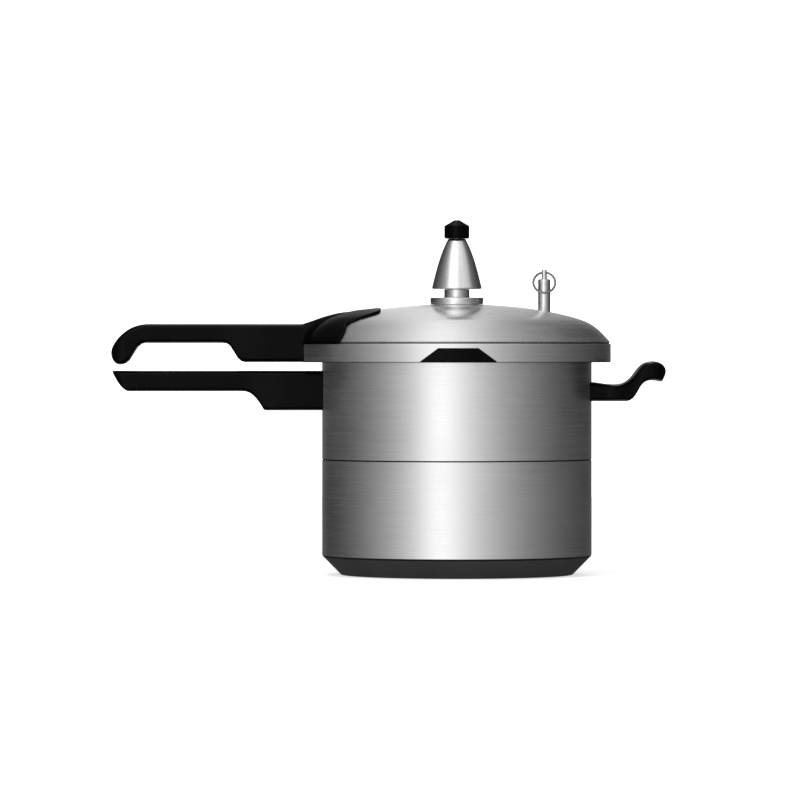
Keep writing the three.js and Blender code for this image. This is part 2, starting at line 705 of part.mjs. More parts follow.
function valvePlug() {
  const bore = valve.stemRadius + gap;
  const outer = valve.chamber - gap;
  return turned([[bore, plugBottom], [outer, plugBottom], [outer, valveTop], [bore, valveTop]], 24);
}

// A tapered washer between the flat nut and the sloping underside of the dome.
function valveWasher() {
  const ringShape = cylinder(valve.washerRadius, valveNutTop + gap, domeTop)
    .subtract(cylinder(valve.radius + gap, valveNutTop - 1, domeTop + 1));
  const room = underLid(-lid.wall - gap).translate([-valve.offset, 0, 0]);
  return ringShape.intersect(room);
}

function valveStem() {
  const top = valveTop + valve.stemAbove;
  const rod = turned([[0, seatTop - 1.5], [1, seatTop - 1.5], [1, collarBottom], [valve.chamber - 0.4, collarBottom],
    [valve.chamber - 0.4, collarTop], [valve.rodRadius, collarTop], [valve.rodRadius, plugBottom + 0.5],
    [valve.stemRadius, plugBottom + 0.5], [valve.stemRadius, top - 0.6], [valve.stemRadius - 0.6, top],
    [0, top]], 24);
  const eye = cylinder(valve.eyeRadius, -5, 5, 20).rotate([0, 90, 0]).translate([0, 0, eyeHeight]);
  return rod.subtract(eye);
}

function valveSeal() {
  return turned([[1.3, seatTop + gap], [valve.chamber - 0.5, seatTop + gap],
    [valve.chamber - 0.5, collarBottom - gap], [1.3, collarBottom - gap]], 24);
}

function valveSpring() {
  const bottom = collarTop + gap + valve.springWire;
  const top = plugBottom - gap - valve.springWire;
  const radius = (valve.chamber + valve.rodRadius) / 2;
  class Coil extends THREE.Curve {
    getPoint(t) {
      const angle = 2 * Math.PI * valve.springTurns * t;
      return new THREE.Vector3(radius * Math.cos(angle), radius * Math.sin(angle), bottom + (top - bottom) * t);
    }
  }
  const section = new THREE.Shape().absarc(0, 0, valve.springWire, 0, 2 * Math.PI);
  const options = { steps: valve.springTurns * 12, extrudePath: new Coil(), curveSegments: 3, bevelEnabled: false };
  return solid(new THREE.ExtrudeGeometry(section, options));
}

// The ring hangs through the stem's eye and leans against the valve's body.
function pullRing() {
  const wire = Array.from({ length: 9 }, (_, i) => {
    const angle = (2 * Math.PI * i) / 8;
    return v2(ring.radius + ring.wire * Math.cos(angle), ring.wire * Math.sin(angle));
  });
  wire[8].copy(wire[0]);
  return solid(new THREE.LatheGeometry(wire, 36));
}

// ---------------------------------------------------------------- materials and assembly

const metal = (color, roughness) => new THREE.MeshStandardMaterial({ color, roughness, metalness: 1 });
const plastic = (color, roughness) => new THREE.MeshStandardMaterial({ color, roughness, metalness: 0 });
const brushedSteel = () => metal(0xb9b9ba, 0.32);
const darkSteel = () => metal(0x343434, 0.45);
const polished = () => metal(0xd2d2d4, 0.12);
const plainSteel = () => metal(0x9a9c9e, 0.4);
const aluminium = () => metal(0xbfc2c4, 0.5);
const phenolic = () => plastic(0x080808, 0.3);
const silicone = () => plastic(0xe9e4dc, 0.5);

function piece(name, made, material) {
  const mesh = new THREE.Mesh(geometryOf(made), material);
  mesh.name = name;
  return mesh;
}

function at(object, x, y, z) {
  object.position.set(x, y, z);
  return object;
}

function groupOf(...children) {
  const group = new THREE.Group();
  group.add(...children);
  return group;
}

const potGroup = groupOf(
  piece('pot_shell', potShell(), brushedSteel()),
  piece('base_core', baseCore(), aluminium()),
  piece('base_cap', baseCap(), darkSteel()),
);

const potHandleGroup = groupOf(
  piece('pot_handle', potHandleSolid(), phenolic()),
  piece('pot_handle_bracket', potBracketSolid(), plainSteel()),
  at(piece('pot_handle_screw', handleScrew(potHandleBottom, potScrewTop), plainSteel()), potScrewAt, 0, 0),
);
potHandleGroup.rotation.z = Math.PI;

const helperGroup = groupOf(
  piece('helper_handle', helperSolid(), phenolic()),
  piece('helper_handle_bracket', helperBracketSolid(), plainSteel()),
  at(piece('helper_handle_screw', handleScrew(helperBottom, helperScrewTop), plainSteel()), helperScrewAt, 0, 0),
);

const lidHandleGroup = groupOf(
  piece('lid_handle', lidHandleSolid(), phenolic()),
  piece('lid_handle_bracket', lidBracketSolid(), plainSteel()),
  ...['inner', 'outer'].map((side, i) => at(
    piece(`lid_handle_screw_${side}`, handleScrew(lidHandleBottom, lidScrewTop), plainSteel()),
    lidScrewsAt[i], 0, 0,
  )),
);
lidHandleGroup.rotation.z = Math.PI;

const ventGroup = groupOf(
  piece('vent_base', ventBase(), polished()),
  piece('vent_pipe', ventPipe(), plainSteel()),
  piece('vent_washer', ventWasher(), silicone()),
  piece('vent_nut', nut(vent.nutRadius, ventHole, ventNutTop - vent.nutHeight, ventNutTop), plainSteel()),
  piece('vent_guard', ventGuard(), plainSteel()),
);

const weightGroup = groupOf(
  piece('weight_body', weightBody(), polished()),
  piece('weight_needle', weightNeedle(), plainSteel()),
  piece('weight_cap', weightCap(), phenolic()),
);

const pullRingMesh = at(piece('pull_ring', pullRing().translate([0, 0, -ring.radius]), polished()), 0, 0, eyeHeight);
pullRingMesh.rotation.x = -degrees(ring.tiltDeg);

const valveGroup = at(groupOf(
  piece('valve_body', valveBody(), polished()),
  piece('valve_top_plug', valvePlug(), polished()),
  piece('valve_washer', valveWasher(), silicone()),
  piece('valve_nut', nut(valve.nutRadius, valve.radius + gap, valveNutTop - valve.nutHeight, valveNutTop), plainSteel()),
  piece('valve_spring', valveSpring(), plainSteel()),
  piece('valve_stem', valveStem(), polished()),
  piece('valve_seal', valveSeal(), silicone()),
  pullRingMesh,
), valve.offset, 0, 0);

const lidGroup = groupOf(
  piece('lid_shell', lidShell(), brushedSteel()),
  piece('rim_window_guard', rimGuardSolid(), phenolic()),
  piece('lid_gasket', gasketSolid(), silicone()),
  lidHandleGroup,
  ventGroup,
  weightGroup,
  valveGroup,
);

export default groupOf(potGroup, potHandleGroup, helperGroup, lidGroup);
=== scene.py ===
# %% [markdown]
# # A stovetop pressure cooker
# The cooker is a deep steel pot with a bayonet lid. This script dresses a fixed CAD frame: every piece
# below takes its place from the frame's boxes and rides on one of the frame's bodies.
# The frame is loaded first, because everything else is measured from it.

# %% Load the fixed frame
import json
import math

import bmesh
import bpy
import numpy as np
from mathutils import Matrix, Vector


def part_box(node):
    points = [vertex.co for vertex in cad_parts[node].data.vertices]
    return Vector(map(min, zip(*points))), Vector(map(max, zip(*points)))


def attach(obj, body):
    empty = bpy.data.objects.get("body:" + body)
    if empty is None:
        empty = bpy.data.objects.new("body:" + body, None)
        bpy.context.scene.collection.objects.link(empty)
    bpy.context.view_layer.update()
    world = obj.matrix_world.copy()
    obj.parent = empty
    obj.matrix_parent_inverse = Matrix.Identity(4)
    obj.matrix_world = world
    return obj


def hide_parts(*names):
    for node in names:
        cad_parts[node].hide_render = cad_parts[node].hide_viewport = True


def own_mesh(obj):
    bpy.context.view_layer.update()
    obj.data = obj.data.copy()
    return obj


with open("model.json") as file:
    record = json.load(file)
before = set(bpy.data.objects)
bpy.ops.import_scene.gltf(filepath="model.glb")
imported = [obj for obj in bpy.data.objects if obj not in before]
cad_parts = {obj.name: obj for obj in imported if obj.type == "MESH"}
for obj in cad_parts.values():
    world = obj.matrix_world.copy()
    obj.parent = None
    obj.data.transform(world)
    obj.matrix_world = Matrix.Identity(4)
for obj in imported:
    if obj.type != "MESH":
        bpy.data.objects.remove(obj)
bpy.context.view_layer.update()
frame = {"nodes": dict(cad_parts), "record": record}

MM = 0.001
record = frame["record"]
body_of_node = {node: body for body, nodes in record["behaviour"]["bodies"].items() for node in nodes}
slot_of_node = {row["node"]: row["material_slot"] for row in record["subparts"]}
print("nodes in the frame:", len(body_of_node))


def box_mm(node):
    """Lowest and highest corner of a CAD node in millimetres."""
    low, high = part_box(node)
    return low / MM, high / MM


# %% [markdown]
# ## Node helpers
# Materials and Geometry Nodes trees are both graphs. One small class keeps the wiring readable:
# `Graph.add` makes a node, sets its properties and links or fills its inputs by name or number.
# A long way round would be to name each node and link by hand, which hides the idea of the finish.

# %% A small helper that wires node graphs
class Graph:
    def __init__(self, tree):
        self.tree = tree

    def put(self, node, key, value):
        socket = node.inputs[key]
        if isinstance(value, bpy.types.NodeSocket):
            self.tree.links.new(value, socket)
        else:
            socket.default_value = value

    def add(self, kind, inputs=None, **properties):
        node = self.tree.nodes.new(kind)
        for name, value in properties.items():
            setattr(node, name, value)
        for key, value in (inputs or {}).items():
            self.put(node, key, value)
        return node

    def math(self, operation, a, b=None):
        inputs = {0: a} if b is None else {0: a, 1: b}
        return self.add("ShaderNodeMath", inputs, operation=operation).outputs[0]

    def vector(self, operation, *values):
        return self.add("ShaderNodeVectorMath", dict(enumerate(values)), operation=operation).outputs

    def join(self, x, y, z=0.0):
        return self.add("ShaderNodeCombineXYZ", {0: x, 1: y, 2: z}).outputs[0]

    def split(self, vector):
        return self.add("ShaderNodeSeparateXYZ", {0: vector}).outputs

    def place(self):
        return self.add("ShaderNodeTexCoord").outputs["Object"]

    def noise(self, vector, scale, detail=2.0, roughness=0.5):
        return self.add("ShaderNodeTexNoise", {"Vector": vector, "Scale": scale, "Detail": detail,
                                               "Roughness": roughness}).outputs["Fac"]

    def remap(self, value, low, high, to_low, to_high):
        return self.add("ShaderNodeMapRange", {"Value": value, "From Min": low, "From Max": high,
                                               "To Min": to_low, "To Max": to_high}).outputs["Result"]

    def mix(self, share, first, second, blend="MIX"):
        """Two colours mixed; a plain colour is three numbers."""
        first, second = ((*c, 1.0) if isinstance(c, tuple) else c for c in (first, second))
        return self.add("ShaderNodeMix", {0: share, 6: first, 7: second}, data_type="RGBA",
                        blend_type=blend).outputs[2]

    def grey(self, value):
        return self.add("ShaderNodeCombineColor", {0: value, 1: value, 2: value}).outputs[0]

    def less(self, value, share):
        """1 - value * share: darkens where value is 1."""
        return self.math("SUBTRACT", 1.0, self.math("MULTIPLY", value, share))


# %% [markdown]
# ## Around the axis
# Brushing on a pot runs round it, because the pot is held against the belt on a lathe. So the metal
# finishes need three numbers at each point: which way round it is (a unit vector, which has no seam),
# how far it is from the axis, and how high. They come from Object coordinates, so they stay put on the piece.

# %% Coordinates round an axis
def polar(graph, centre=(0.0, 0.0)):
    """Direction from the axis, radius and height of the shaded point, and the way round."""
    parts = graph.split(graph.place())
    x = graph.math("SUBTRACT", parts[0], centre[0])
    y = graph.math("SUBTRACT", parts[1], centre[1])
    flat = graph.join(x, y)
    around = graph.join(graph.math("MULTIPLY", y, -1.0), x)
    world = graph.add("ShaderNodeVectorTransform", {0: around}, vector_type="VECTOR",
                      convert_from="OBJECT", convert_to="WORLD").outputs[0]
    radius = graph.vector("LENGTH", flat)["Value"]
    return graph.vector("NORMALIZE", flat)[0], radius, parts[2], graph.vector("NORMALIZE", world)[0]


def round_lines(graph, outwards, across, density):
    """A pattern space in which noise becomes lines that run round the axis."""
    parts = graph.split(outwards)
    return graph.join(parts[0], parts[1], graph.math("MULTIPLY", across, density))


def finish_material(name, build):
    """A material. build(graph) returns the shader's sockets and a bump: strength, distance, height."""
    material = bpy.data.materials.new(name)
    material.use_nodes = True
    material.node_tree.nodes.clear()
    graph = Graph(material.node_tree)
    sockets, bump = build(graph)
    if bump:
        relief = graph.add("ShaderNodeBump", dict(zip(("Strength", "Distance", "Height"), bump)))
        sockets["Normal"] = relief.outputs[0]
    shader = graph.add("ShaderNodeBsdfPrincipled", sockets)
    graph.add("ShaderNodeOutputMaterial", {"Surface": shader.outputs[0]})
    return material


# %% [markdown]
# ## Brushed steel
# The pot and the lid are stainless steel with a fine belt-brushed finish. The brushing is made of lines
# that run round the axis, each a little rougher or smoother than the next, so a lamp smears into a
# streak along the pot. Anisotropy with a tangent round the axis gives the streak, and stretched noise
# gives the lines. A few faint stains make it a used pot, and bands of painted shade darken the
# wall's groove, the lid's seam and the skirt's hem.

# %% Brushed steel for the pot and the lid
BLACK = (0.0, 0.0, 0.0)
BRUSH_DENSITY, TURNING_DENSITY = 900.0, 500.0  # lines across the brushing and across a coarser turned face


def brushed_steel(name, tint, gloss, painted_shade_bands=(), painted_shade_beyond=0.0, anisotropy=0.75, centre=(0.0, 0.0)):
    """The bands are pairs of heights between which the steel is darkened as painted shade, outside the given
    radius.
    """
    def build(graph):
        outwards, radius, height, tangent = polar(graph, centre)
        lines = round_lines(graph, outwards, graph.math("ADD", height, radius), BRUSH_DENSITY)
        fine = graph.noise(lines, 1.6, 3.0, 0.7)
        broad = graph.noise(graph.place(), 9.0, 4.0)
        value = graph.math("MULTIPLY", graph.remap(fine, 0.2, 0.8, 0.93, 1.0),
                           graph.remap(broad, 0.35, 0.7, 0.97, 1.0))
        # Painted shade: the steel is darkened in each band, where a groove, seam or hem would stand in
        # shadow.
        for low, high in painted_shade_bands:
            inside = graph.math("MULTIPLY", graph.math("GREATER_THAN", height, low),
                                graph.math("LESS_THAN", height, high))
            mask = graph.math("MULTIPLY", inside, graph.math("GREATER_THAN", radius, painted_shade_beyond))
            value = graph.math("MULTIPLY", value, graph.less(mask, 0.9))
        rough = graph.math("ADD", graph.remap(fine, 0.2, 0.8, gloss - 0.05, gloss + 0.05),
                           graph.remap(broad, 0.4, 0.7, 0.0, 0.05))
        return {"Base Color": graph.mix(value, BLACK, tint), "Metallic": 1.0, "Roughness": rough,
                "Anisotropic": anisotropy, "Tangent": tangent}, (0.12, 0.00003, fine)
    return finish_material(name, build)


# %% [markdown]
# ## Other finishes
# The handles are moulded phenolic: black and glossy, with a faint orange peel and fine scuffs. The gasket
# is off-white silicone that lets a little light in. Nuts, screws and hidden brackets are plain metal with
# a fine grain. The weight, the vent and the valve are turned and polished, and take the brushed finish
# above with less roughness.

# %% Phenolic, silicone and plain metal
def phenolic(name):
    def build(graph):
        place_on = graph.place()
        scuff = graph.noise(place_on, 45.0, 6.0, 0.7)
        return {"Base Color": graph.grey(graph.remap(scuff, 0.35, 0.75, 0.0006, 0.0016)),
                "Roughness": graph.remap(scuff, 0.35, 0.75, 0.16, 0.26),
                "Specular IOR Level": 0.05}, (0.08, 0.0002, graph.noise(place_on, 260.0, 2.0))
    return finish_material(name, build)


def silicone(name):
    def build(graph):
        place_on = graph.place()
        cloud = graph.noise(place_on, 30.0, 3.0)
        colour = graph.mix(graph.remap(cloud, 0.3, 0.7, 0.0, 1.0), (0.74, 0.69, 0.61), (0.86, 0.82, 0.76))
        return {"Base Color": colour, "Roughness": graph.remap(cloud, 0.3, 0.7, 0.4, 0.52),
                "Subsurface Weight": 0.35, "Subsurface Radius": (0.004, 0.0035, 0.003)}, (
                    0.05, 0.0001, graph.noise(place_on, 700.0, 2.0))
    return finish_material(name, build)


def plain_metal(name, tint, gloss):
    def build(graph):
        place_on = graph.place()
        grain = graph.noise(place_on, 900.0, 3.0)
        value = graph.remap(graph.noise(place_on, 60.0, 3.0), 0.3, 0.7, 0.86, 1.0)
        return {"Base Color": graph.mix(value, BLACK, tint), "Metallic": 1.0,
                "Roughness": graph.remap(grain, 0.3, 0.7, gloss - 0.05, gloss + 0.08)}, (0.1, 0.00005, grain)
    return finish_material(name, build)


# %% [markdown]
# ## Turned shapes
# Most of the cooker is turned or spun, so its shape follows one rule: a profile swept round an axis.
# A Geometry Nodes tree does it. The seed mesh is only the profile, the path is a circle, and the tree
# sweeps the one along the other, welds the poles and sets the finish. A Screw modifier would also turn a
# profile, but a tree keeps the facets and the finish as named inputs. Later trees start and end the same
# way, so one function makes the frame of a tree and another reads the mesh out.

# %% Trees with named inputs, and the mesh that one makes
def modifier_tree(name, inputs, build):
    """A tree whose inputs are a seed mesh, the named sizes and a finish. build(graph, inputs) draws it."""
    tree = bpy.data.node_groups.new(name, "GeometryNodeTree")
    for socket, kind in {"Geometry": "Geometry", **inputs, "Finish": "Material"}.items():
        tree.interface.new_socket(socket, in_out="INPUT", socket_type="NodeSocket" + kind)
    tree.interface.new_socket("Geometry", in_out="OUTPUT", socket_type="NodeSocketGeometry")
    graph = Graph(tree)
    source = graph.add("NodeGroupInput").outputs
    real = graph.add("GeometryNodeRealizeInstances", {"Geometry": build(graph, source)}).outputs[0]
    dressed = graph.add("GeometryNodeSetMaterial", {"Geometry": real, "Material": source["Finish"]})
    graph.add("NodeGroupOutput", {0: dressed.outputs[0]})
    return tree


def temporary(mesh, name="temporary"):
    obj = bpy.data.objects.new(name, mesh)
    bpy.context.scene.collection.objects.link(obj)
    return obj


def evaluated_mesh(obj):
    """The object's mesh with its modifiers applied. The object itself is removed."""
    bpy.context.view_layer.update()
    graph = bpy.context.evaluated_depsgraph_get()
    mesh = bpy.data.meshes.new_from_object(obj.evaluated_get(graph), depsgraph=graph)
    bpy.data.objects.remove(obj)
    return mesh


def grown(tree, points, edges, values):
    """The mesh that a tree makes of seed points and edges, with its inputs set to the values."""
    seed = bpy.data.meshes.new("seed")
    seed.from_pydata(points, edges, [])
    obj = temporary(seed)
    modifier = obj.modifiers.new(tree.name, "NODES")
    modifier.node_group = tree
    ids = {item.name: item.identifier for item in tree.interface.items_tree if item.in_out == "INPUT"}
    for name, value in values.items():
        modifier[ids[name]] = value
    return evaluated_mesh(obj)


def outward(mesh):
    """Welds loose doubles and turns every face outwards."""
    made = bmesh.new()
    made.from_mesh(mesh)
    bmesh.ops.remove_doubles(made, verts=made.verts, dist=2e-6)
    bmesh.ops.dissolve_degenerate(made, edges=made.edges, dist=1e-7)
    bmesh.ops.recalc_face_normals(made, faces=made.faces)
    made.to_mesh(mesh)
    made.free()
    return mesh


# %% The tree that turns a profile
PATH_RADIUS = 0.1  # metres; a profile point is stored as its distance from this circle


def turning(graph, source):
    profile = graph.add("GeometryNodeMeshToCurve", {"Mesh": source["Geometry"]}).outputs[0]
    circle = graph.add("GeometryNodeCurvePrimitiveCircle", {"Resolution": source["Facets"],
                                                            "Radius": PATH_RADIUS}).outputs[0]
    path = graph.add("GeometryNodeSetCurveNormal", {"Curve": circle}, mode="Z_UP").outputs[0]
    swept = graph.add("GeometryNodeCurveToMesh", {"Curve": path, "Profile Curve": profile}).outputs[0]
    return graph.add("GeometryNodeMergeByDistance", {"Geometry": swept, "Distance": 1e-6}).outputs[0]


turned_profile = modifier_tree("turned_profile", {"Facets": "Int"}, turning)


def turned(profile, material, facets=192, centre=(0.0, 0.0)):
    """A closed or axis-to-axis profile of (radius, height) in millimetres, turned about an upright axis."""
    points = [(r * MM - PATH_RADIUS, -z * MM, 0.0) for r, z in profile]
    on_axis = profile[0][0] == 0 and profile[-1][0] == 0
    count = len(points)
    edges = [(i, i + 1) for i in range(count - 1)] + ([] if on_axis else [(count - 1, 0)])
    made = outward(grown(turned_profile, points, edges, {"Facets": facets, "Finish": material}))
    made.transform(Matrix.Translation((centre[0] * MM, centre[1] * MM, 0.0)))
    return made


# %% [markdown]
# ## Rounded corners
# A pressed or moulded edge is never sharp, and the small round is what catches the light. Corners in a
# profile are written as plain points with a radius, and one function puts the arc in.

# %% Rounding the corners of an outline
def rounded(corners, steps=5, closed=True):
    """Corners are (x, y) or (x, y, radius). Returns the outline with arcs in place of the corners."""
    points = []
    count = len(corners)
    for i, corner in enumerate(corners):
        here = np.array(corner[:2], float)
        radius = corner[2] if len(corner) > 2 else 0.0
        if radius <= 0 or (not closed and i in (0, count - 1)):
            points.append(tuple(here))
            continue
        before = np.array(corners[i - 1][:2], float) - here
        after = np.array(corners[(i + 1) % count][:2], float) - here
        long_a, long_b = np.linalg.norm(before), np.linalg.norm(after)
        before, after = before / long_a, after / long_b
        half = math.acos(np.clip(np.dot(before, after), -1, 1)) / 2
        cut = min(radius / math.tan(half), 0.49 * long_a, 0.49 * long_b)
        start, end = here + before * cut, here + after * cut
        for k in range(steps + 1):
            t = k / steps
            points.append(tuple((1 - t) ** 2 * start + 2 * t * (1 - t) * here + t * t * end))
    return points


# %% [markdown]
# ## Putting a piece in place
# Every finished piece needs the same last steps: smooth shading that keeps its sharp edges, one finish,
# the body it rides on and the CAD nodes it stands for. They are done in one place.
# Shapes that a profile can't make are built from closed meshes, which are joined or cut.

# %% Placing a finished piece
SHARP_ANGLE = math.radians(32)


def place(nodes, mesh, material, name=None):
    """Puts a finished mesh in the scene in place of one CAD node, or of several on one body."""
    nodes = [nodes] if isinstance(nodes, str) else nodes
    mesh.materials.clear()
    mesh.materials.append(material)
    mesh.polygons.foreach_set("material_index", [0] * len(mesh.polygons))
    mesh.shade_smooth()
    mesh.set_sharp_from_angle(angle=SHARP_ANGLE)
    obj = temporary(mesh, name or nodes[0] + "_fine")
    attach(obj, body_of_node[nodes[0]])
    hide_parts(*nodes)
    print(obj.name, len(mesh.polygons), "faces")
    return obj


# %% Joining and cutting closed meshes
def combine(first, second, operation="UNION", crossing=False):
    """One mesh out of two closed ones. crossing says that the second one runs through itself."""
    base, other = temporary(first, "base"), temporary(second, "other")
    modifier = base.modifiers.new("combine", "BOOLEAN")
    modifier.operation = operation
    modifier.solver = "EXACT" if crossing else "MANIFOLD"
    modifier.use_self = crossing
    modifier.object = other
    made = evaluated_mesh(base)
    bpy.data.objects.remove(other)
    if not made.polygons:
        raise SystemExit("a boolean left nothing")
    return made


def closed(made, name):
    """The mesh of a closed bmesh, with every face turned outwards."""
    bmesh.ops.recalc_face_normals(made, faces=made.faces)
    mesh = bpy.data.meshes.new(name)
    made.to_mesh(mesh)
    made.free()
    return mesh


def circle(radius, count, centre=(0.0, 0.0)):
    """Points round a circle."""
    return [(centre[0] + radius * math.cos(a), centre[1] + radius * math.sin(a))
            for a in np.linspace(0, 2 * math.pi, count + 1)[:-1]]


def prism(outline, low, high, axis="Z"):
    """A flat outline in millimetres given a thickness along Z, or along Y for an outline in XZ."""
    made = bmesh.new()
    ends = [[made.verts.new((x * MM, y * MM, level * MM) if axis == "Z" else (x * MM, level * MM, y * MM))
             for x, y in outline] for level in (low, high)]
    made.faces.new(ends[0])
    made.faces.new(ends[1][::-1])
    for i in range(len(outline)):
        j = (i + 1) % len(outline)
        made.faces.new((ends[0][i], ends[0][j], ends[1][j], ends[1][i]))
    return closed(made, "prism")


def plate(rows, columns, corner, name, weld=False):
    """A closed plate. corner(side, j, i) gives each point of its two faces in millimetres."""
    made = bmesh.new()
    grid = {(side, j, i): made.verts.new(tuple(v * MM for v in corner(side, j, i)))
            for side in (0, 1) for j in range(rows) for i in range(columns)}
    for j in range(rows - 1):
        for i in range(columns - 1):
            for side in (0, 1):
                made.faces.new([grid[side, j, i], grid[side, j, i + 1], grid[side, j + 1, i + 1],
                                grid[side, j + 1, i]])
    for i in range(columns - 1):
        for j in (0, rows - 1):
            made.faces.new([grid[0, j, i], grid[0, j, i + 1], grid[1, j, i + 1], grid[1, j, i]])
    for j in range(rows - 1):
        for i in (0, columns - 1):
            made.faces.new([grid[0, j, i], grid[0, j + 1, i], grid[1, j + 1, i], grid[1, j, i]])
    if weld:
        bmesh.ops.remove_doubles(made, verts=made.verts, dist=1e-6)
        bmesh.ops.dissolve_degenerate(made, edges=made.edges, dist=1e-6)
    return closed(made, name)


# %% [markdown]
# ## Sizes shared by the metal pieces
# The radii and heights come from the frame's boxes. Only what a box can't tell, such as a wall's
# thickness or the height of the skirt, is written here as a value of its own.

# %% Sizes read from the frame
GAP = 0.3  # between pieces that touch
shell_top = box_mm("pot_shell")[1].z
cap_corner = box_mm("base_cap")[1]
lid_low, lid_high = box_mm("lid_shell")
pot_radius = cap_corner.x
base_height = cap_corner.z
lid_radius = lid_high.x
skirt_bottom = lid_low.z
BASE_INSET = 15.5  # how much smaller the foot is than the wall
CAP_WALL = 1.2
POT_WALL = 1.0
FLOOR_BOTTOM, FLOOR_TOP = 7.8, 8.8
FLANGE_THICKNESS = 3.2
FLANGE_REACH = 7.0  # beyond the wall
flange_bottom = shell_top - FLANGE_THICKNESS
GROOVE_HEIGHT = 94.0
GROOVE = (GROOVE_HEIGHT - 0.55, GROOVE_HEIGHT + 0.55)
SKIRT_HEIGHT = 16.0
rim_top = skirt_bottom + SKIRT_HEIGHT
DOME_RISE = 31.6
SHOULDER_INSET = 12.6  # the dome turns into the sloping shoulder this far inside the rim
LID_WALL = 1.5
skirt_inner = lid_radius - LID_WALL
HOOK_THICKNESS = 3.0
WINDOW_FOOT, WINDOW_TOP, WINDOW_HEIGHT = 29.85, 14.3, 9.7  # half widths and height of the rim's window
REACH = 5.6  # of the lugs outwards and of the hooks inwards
LUG_ANGLES = [45 + 90 * i for i in range(4)]
LUG_WIDTH = 24.0  # degrees
VENT_HOLE = 4.8  # radius, through the dome and what is clamped to it
PIPE_RADIUS = 4.5
VALVE_HOLE = 5.4
STEM_RADIUS = 2.2
EYE_DROP = 2.3  # centre of the stem's eye below its top
HEAD_HEIGHT = 3.4  # of a screw
valve_low, valve_high = box_mm("valve_body")
valve_x = (valve_low.x + valve_high.x) / 2
print("pot radius", round(pot_radius, 1), "lid radius", round(lid_radius, 1), "rim top", round(rim_top, 1))


# %% [markdown]
# ## Lugs and hooks
# The bayonet is a ring of lugs on the pot's flange and a ring of hooks inside the lid's skirt. Both are
# the edge of a turned ring, pushed out or in over four short arcs. So the rings are turned first, and
# then the edge is moved where an arc says so, with a short ramp at each end as a press leaves it.

# %% Pushing the edge of a ring in or out over short arcs
RAMP = 1.6  # degrees


def lug_share(x, y):
    """1 inside a lug's arc, 0 between lugs, with a ramp at both ends."""
    angle = np.degrees(np.arctan2(y, x))
    share = np.zeros_like(angle)
    for centre in LUG_ANGLES:
        off = np.abs((angle - centre + 180) % 360 - 180)
        share = np.maximum(share, np.clip((LUG_WIDTH / 2 - off) / RAMP + 0.5, 0, 1))
    return share


def push_edge(mesh, chosen, reach):
    """Moves the chosen vertices outwards by reach millimetres times the lug share."""
    spots = np.empty(len(mesh.vertices) * 3)
    mesh.vertices.foreach_get("co", spots)
    spots = spots.reshape(-1, 3)
    radius = np.hypot(spots[:, 0], spots[:, 1])
    picked = chosen(radius / MM, spots[:, 2] / MM)
    share = lug_share(spots[:, 0], spots[:, 1])
    factor = 1 + picked * share * reach * MM / np.maximum(radius, 1e-9)
    spots[:, :2] *= factor[:, None]
    mesh.vertices.foreach_set("co", spots.ravel())
    mesh.update()


# %% [markdown]
# ## The pot's shell
# The pot is one deep-drawn sheet: a floor, a 45 degree corner over the base, a tall wall with one thin
# groove round it, and a flange at the top with the bayonet lugs. It could be a cylinder with a
# Solidify modifier, but a drawn profile gives each corner its own radius.

# %% Finishes for the shells and the moulded pieces
STEEL = (0.80, 0.80, 0.805)
SHELL_GLOSS = 0.27
# The pot's band darkens the wall's groove, and the lid's bands darken the seam under the rim and the skirt's
# hem; all three are painted shade.
pot_steel = brushed_steel("pot_brushed_steel", STEEL, SHELL_GLOSS,
                          painted_shade_bands=[tuple(z * MM for z in GROOVE)], painted_shade_beyond=(pot_radius - 0.85) * MM)
lid_steel = brushed_steel("lid_brushed_steel", STEEL, SHELL_GLOSS,
                          painted_shade_bands=[((rim_top - 0.9) * MM, (rim_top + 0.05) * MM),
                                      ((skirt_bottom - 0.2) * MM, (skirt_bottom + 0.55) * MM)],
                          painted_shade_beyond=(lid_radius - 1.4) * MM)
black_phenolic = phenolic("black_phenolic")
white_silicone = silicone("gasket_silicone")
plain_steel = plain_metal("plain_steel", (0.55, 0.55, 0.56), 0.34)


# %% The pot's shell
SHELL_FACETS = 288
base_slope = BASE_INSET / base_height
base_skew = math.hypot(1, base_slope)


def pot_shell():
    inside = pot_radius - POT_WALL

    def corner_radius(z, inwards):
        return pot_radius - BASE_INSET + base_slope * z - (1.5 + inwards) * base_skew
    ledge = base_height + GAP
    flange = pot_radius + FLANGE_REACH
    profile = [(0, FLOOR_BOTTOM), (corner_radius(FLOOR_BOTTOM, 0), FLOOR_BOTTOM, 4),
               (corner_radius(ledge, 0), ledge, 0.3), (pot_radius, ledge, 0.35),
               (pot_radius, GROOVE[0], 0.25), (pot_radius - 0.7, GROOVE_HEIGHT),
               (pot_radius, GROOVE[1], 0.25), (pot_radius, flange_bottom - 2, 2),
               (pot_radius + 2, flange_bottom, 2),
               (flange, flange_bottom, 1.1), (flange, shell_top, 1.1), (inside + 2, shell_top, 1.5),
               (inside, shell_top - 2, 1.5), (inside, ledge + 1.4, 6),
               (corner_radius(FLOOR_TOP, POT_WALL), FLOOR_TOP, 6), (0, FLOOR_TOP)]
    mesh = turned(rounded(profile, closed=False), pot_steel, SHELL_FACETS)
    push_edge(mesh, lambda r, z: (r > flange - 1.6) & (z > flange_bottom - 0.1), REACH)
    return mesh


place("pot_shell", pot_shell(), pot_steel)
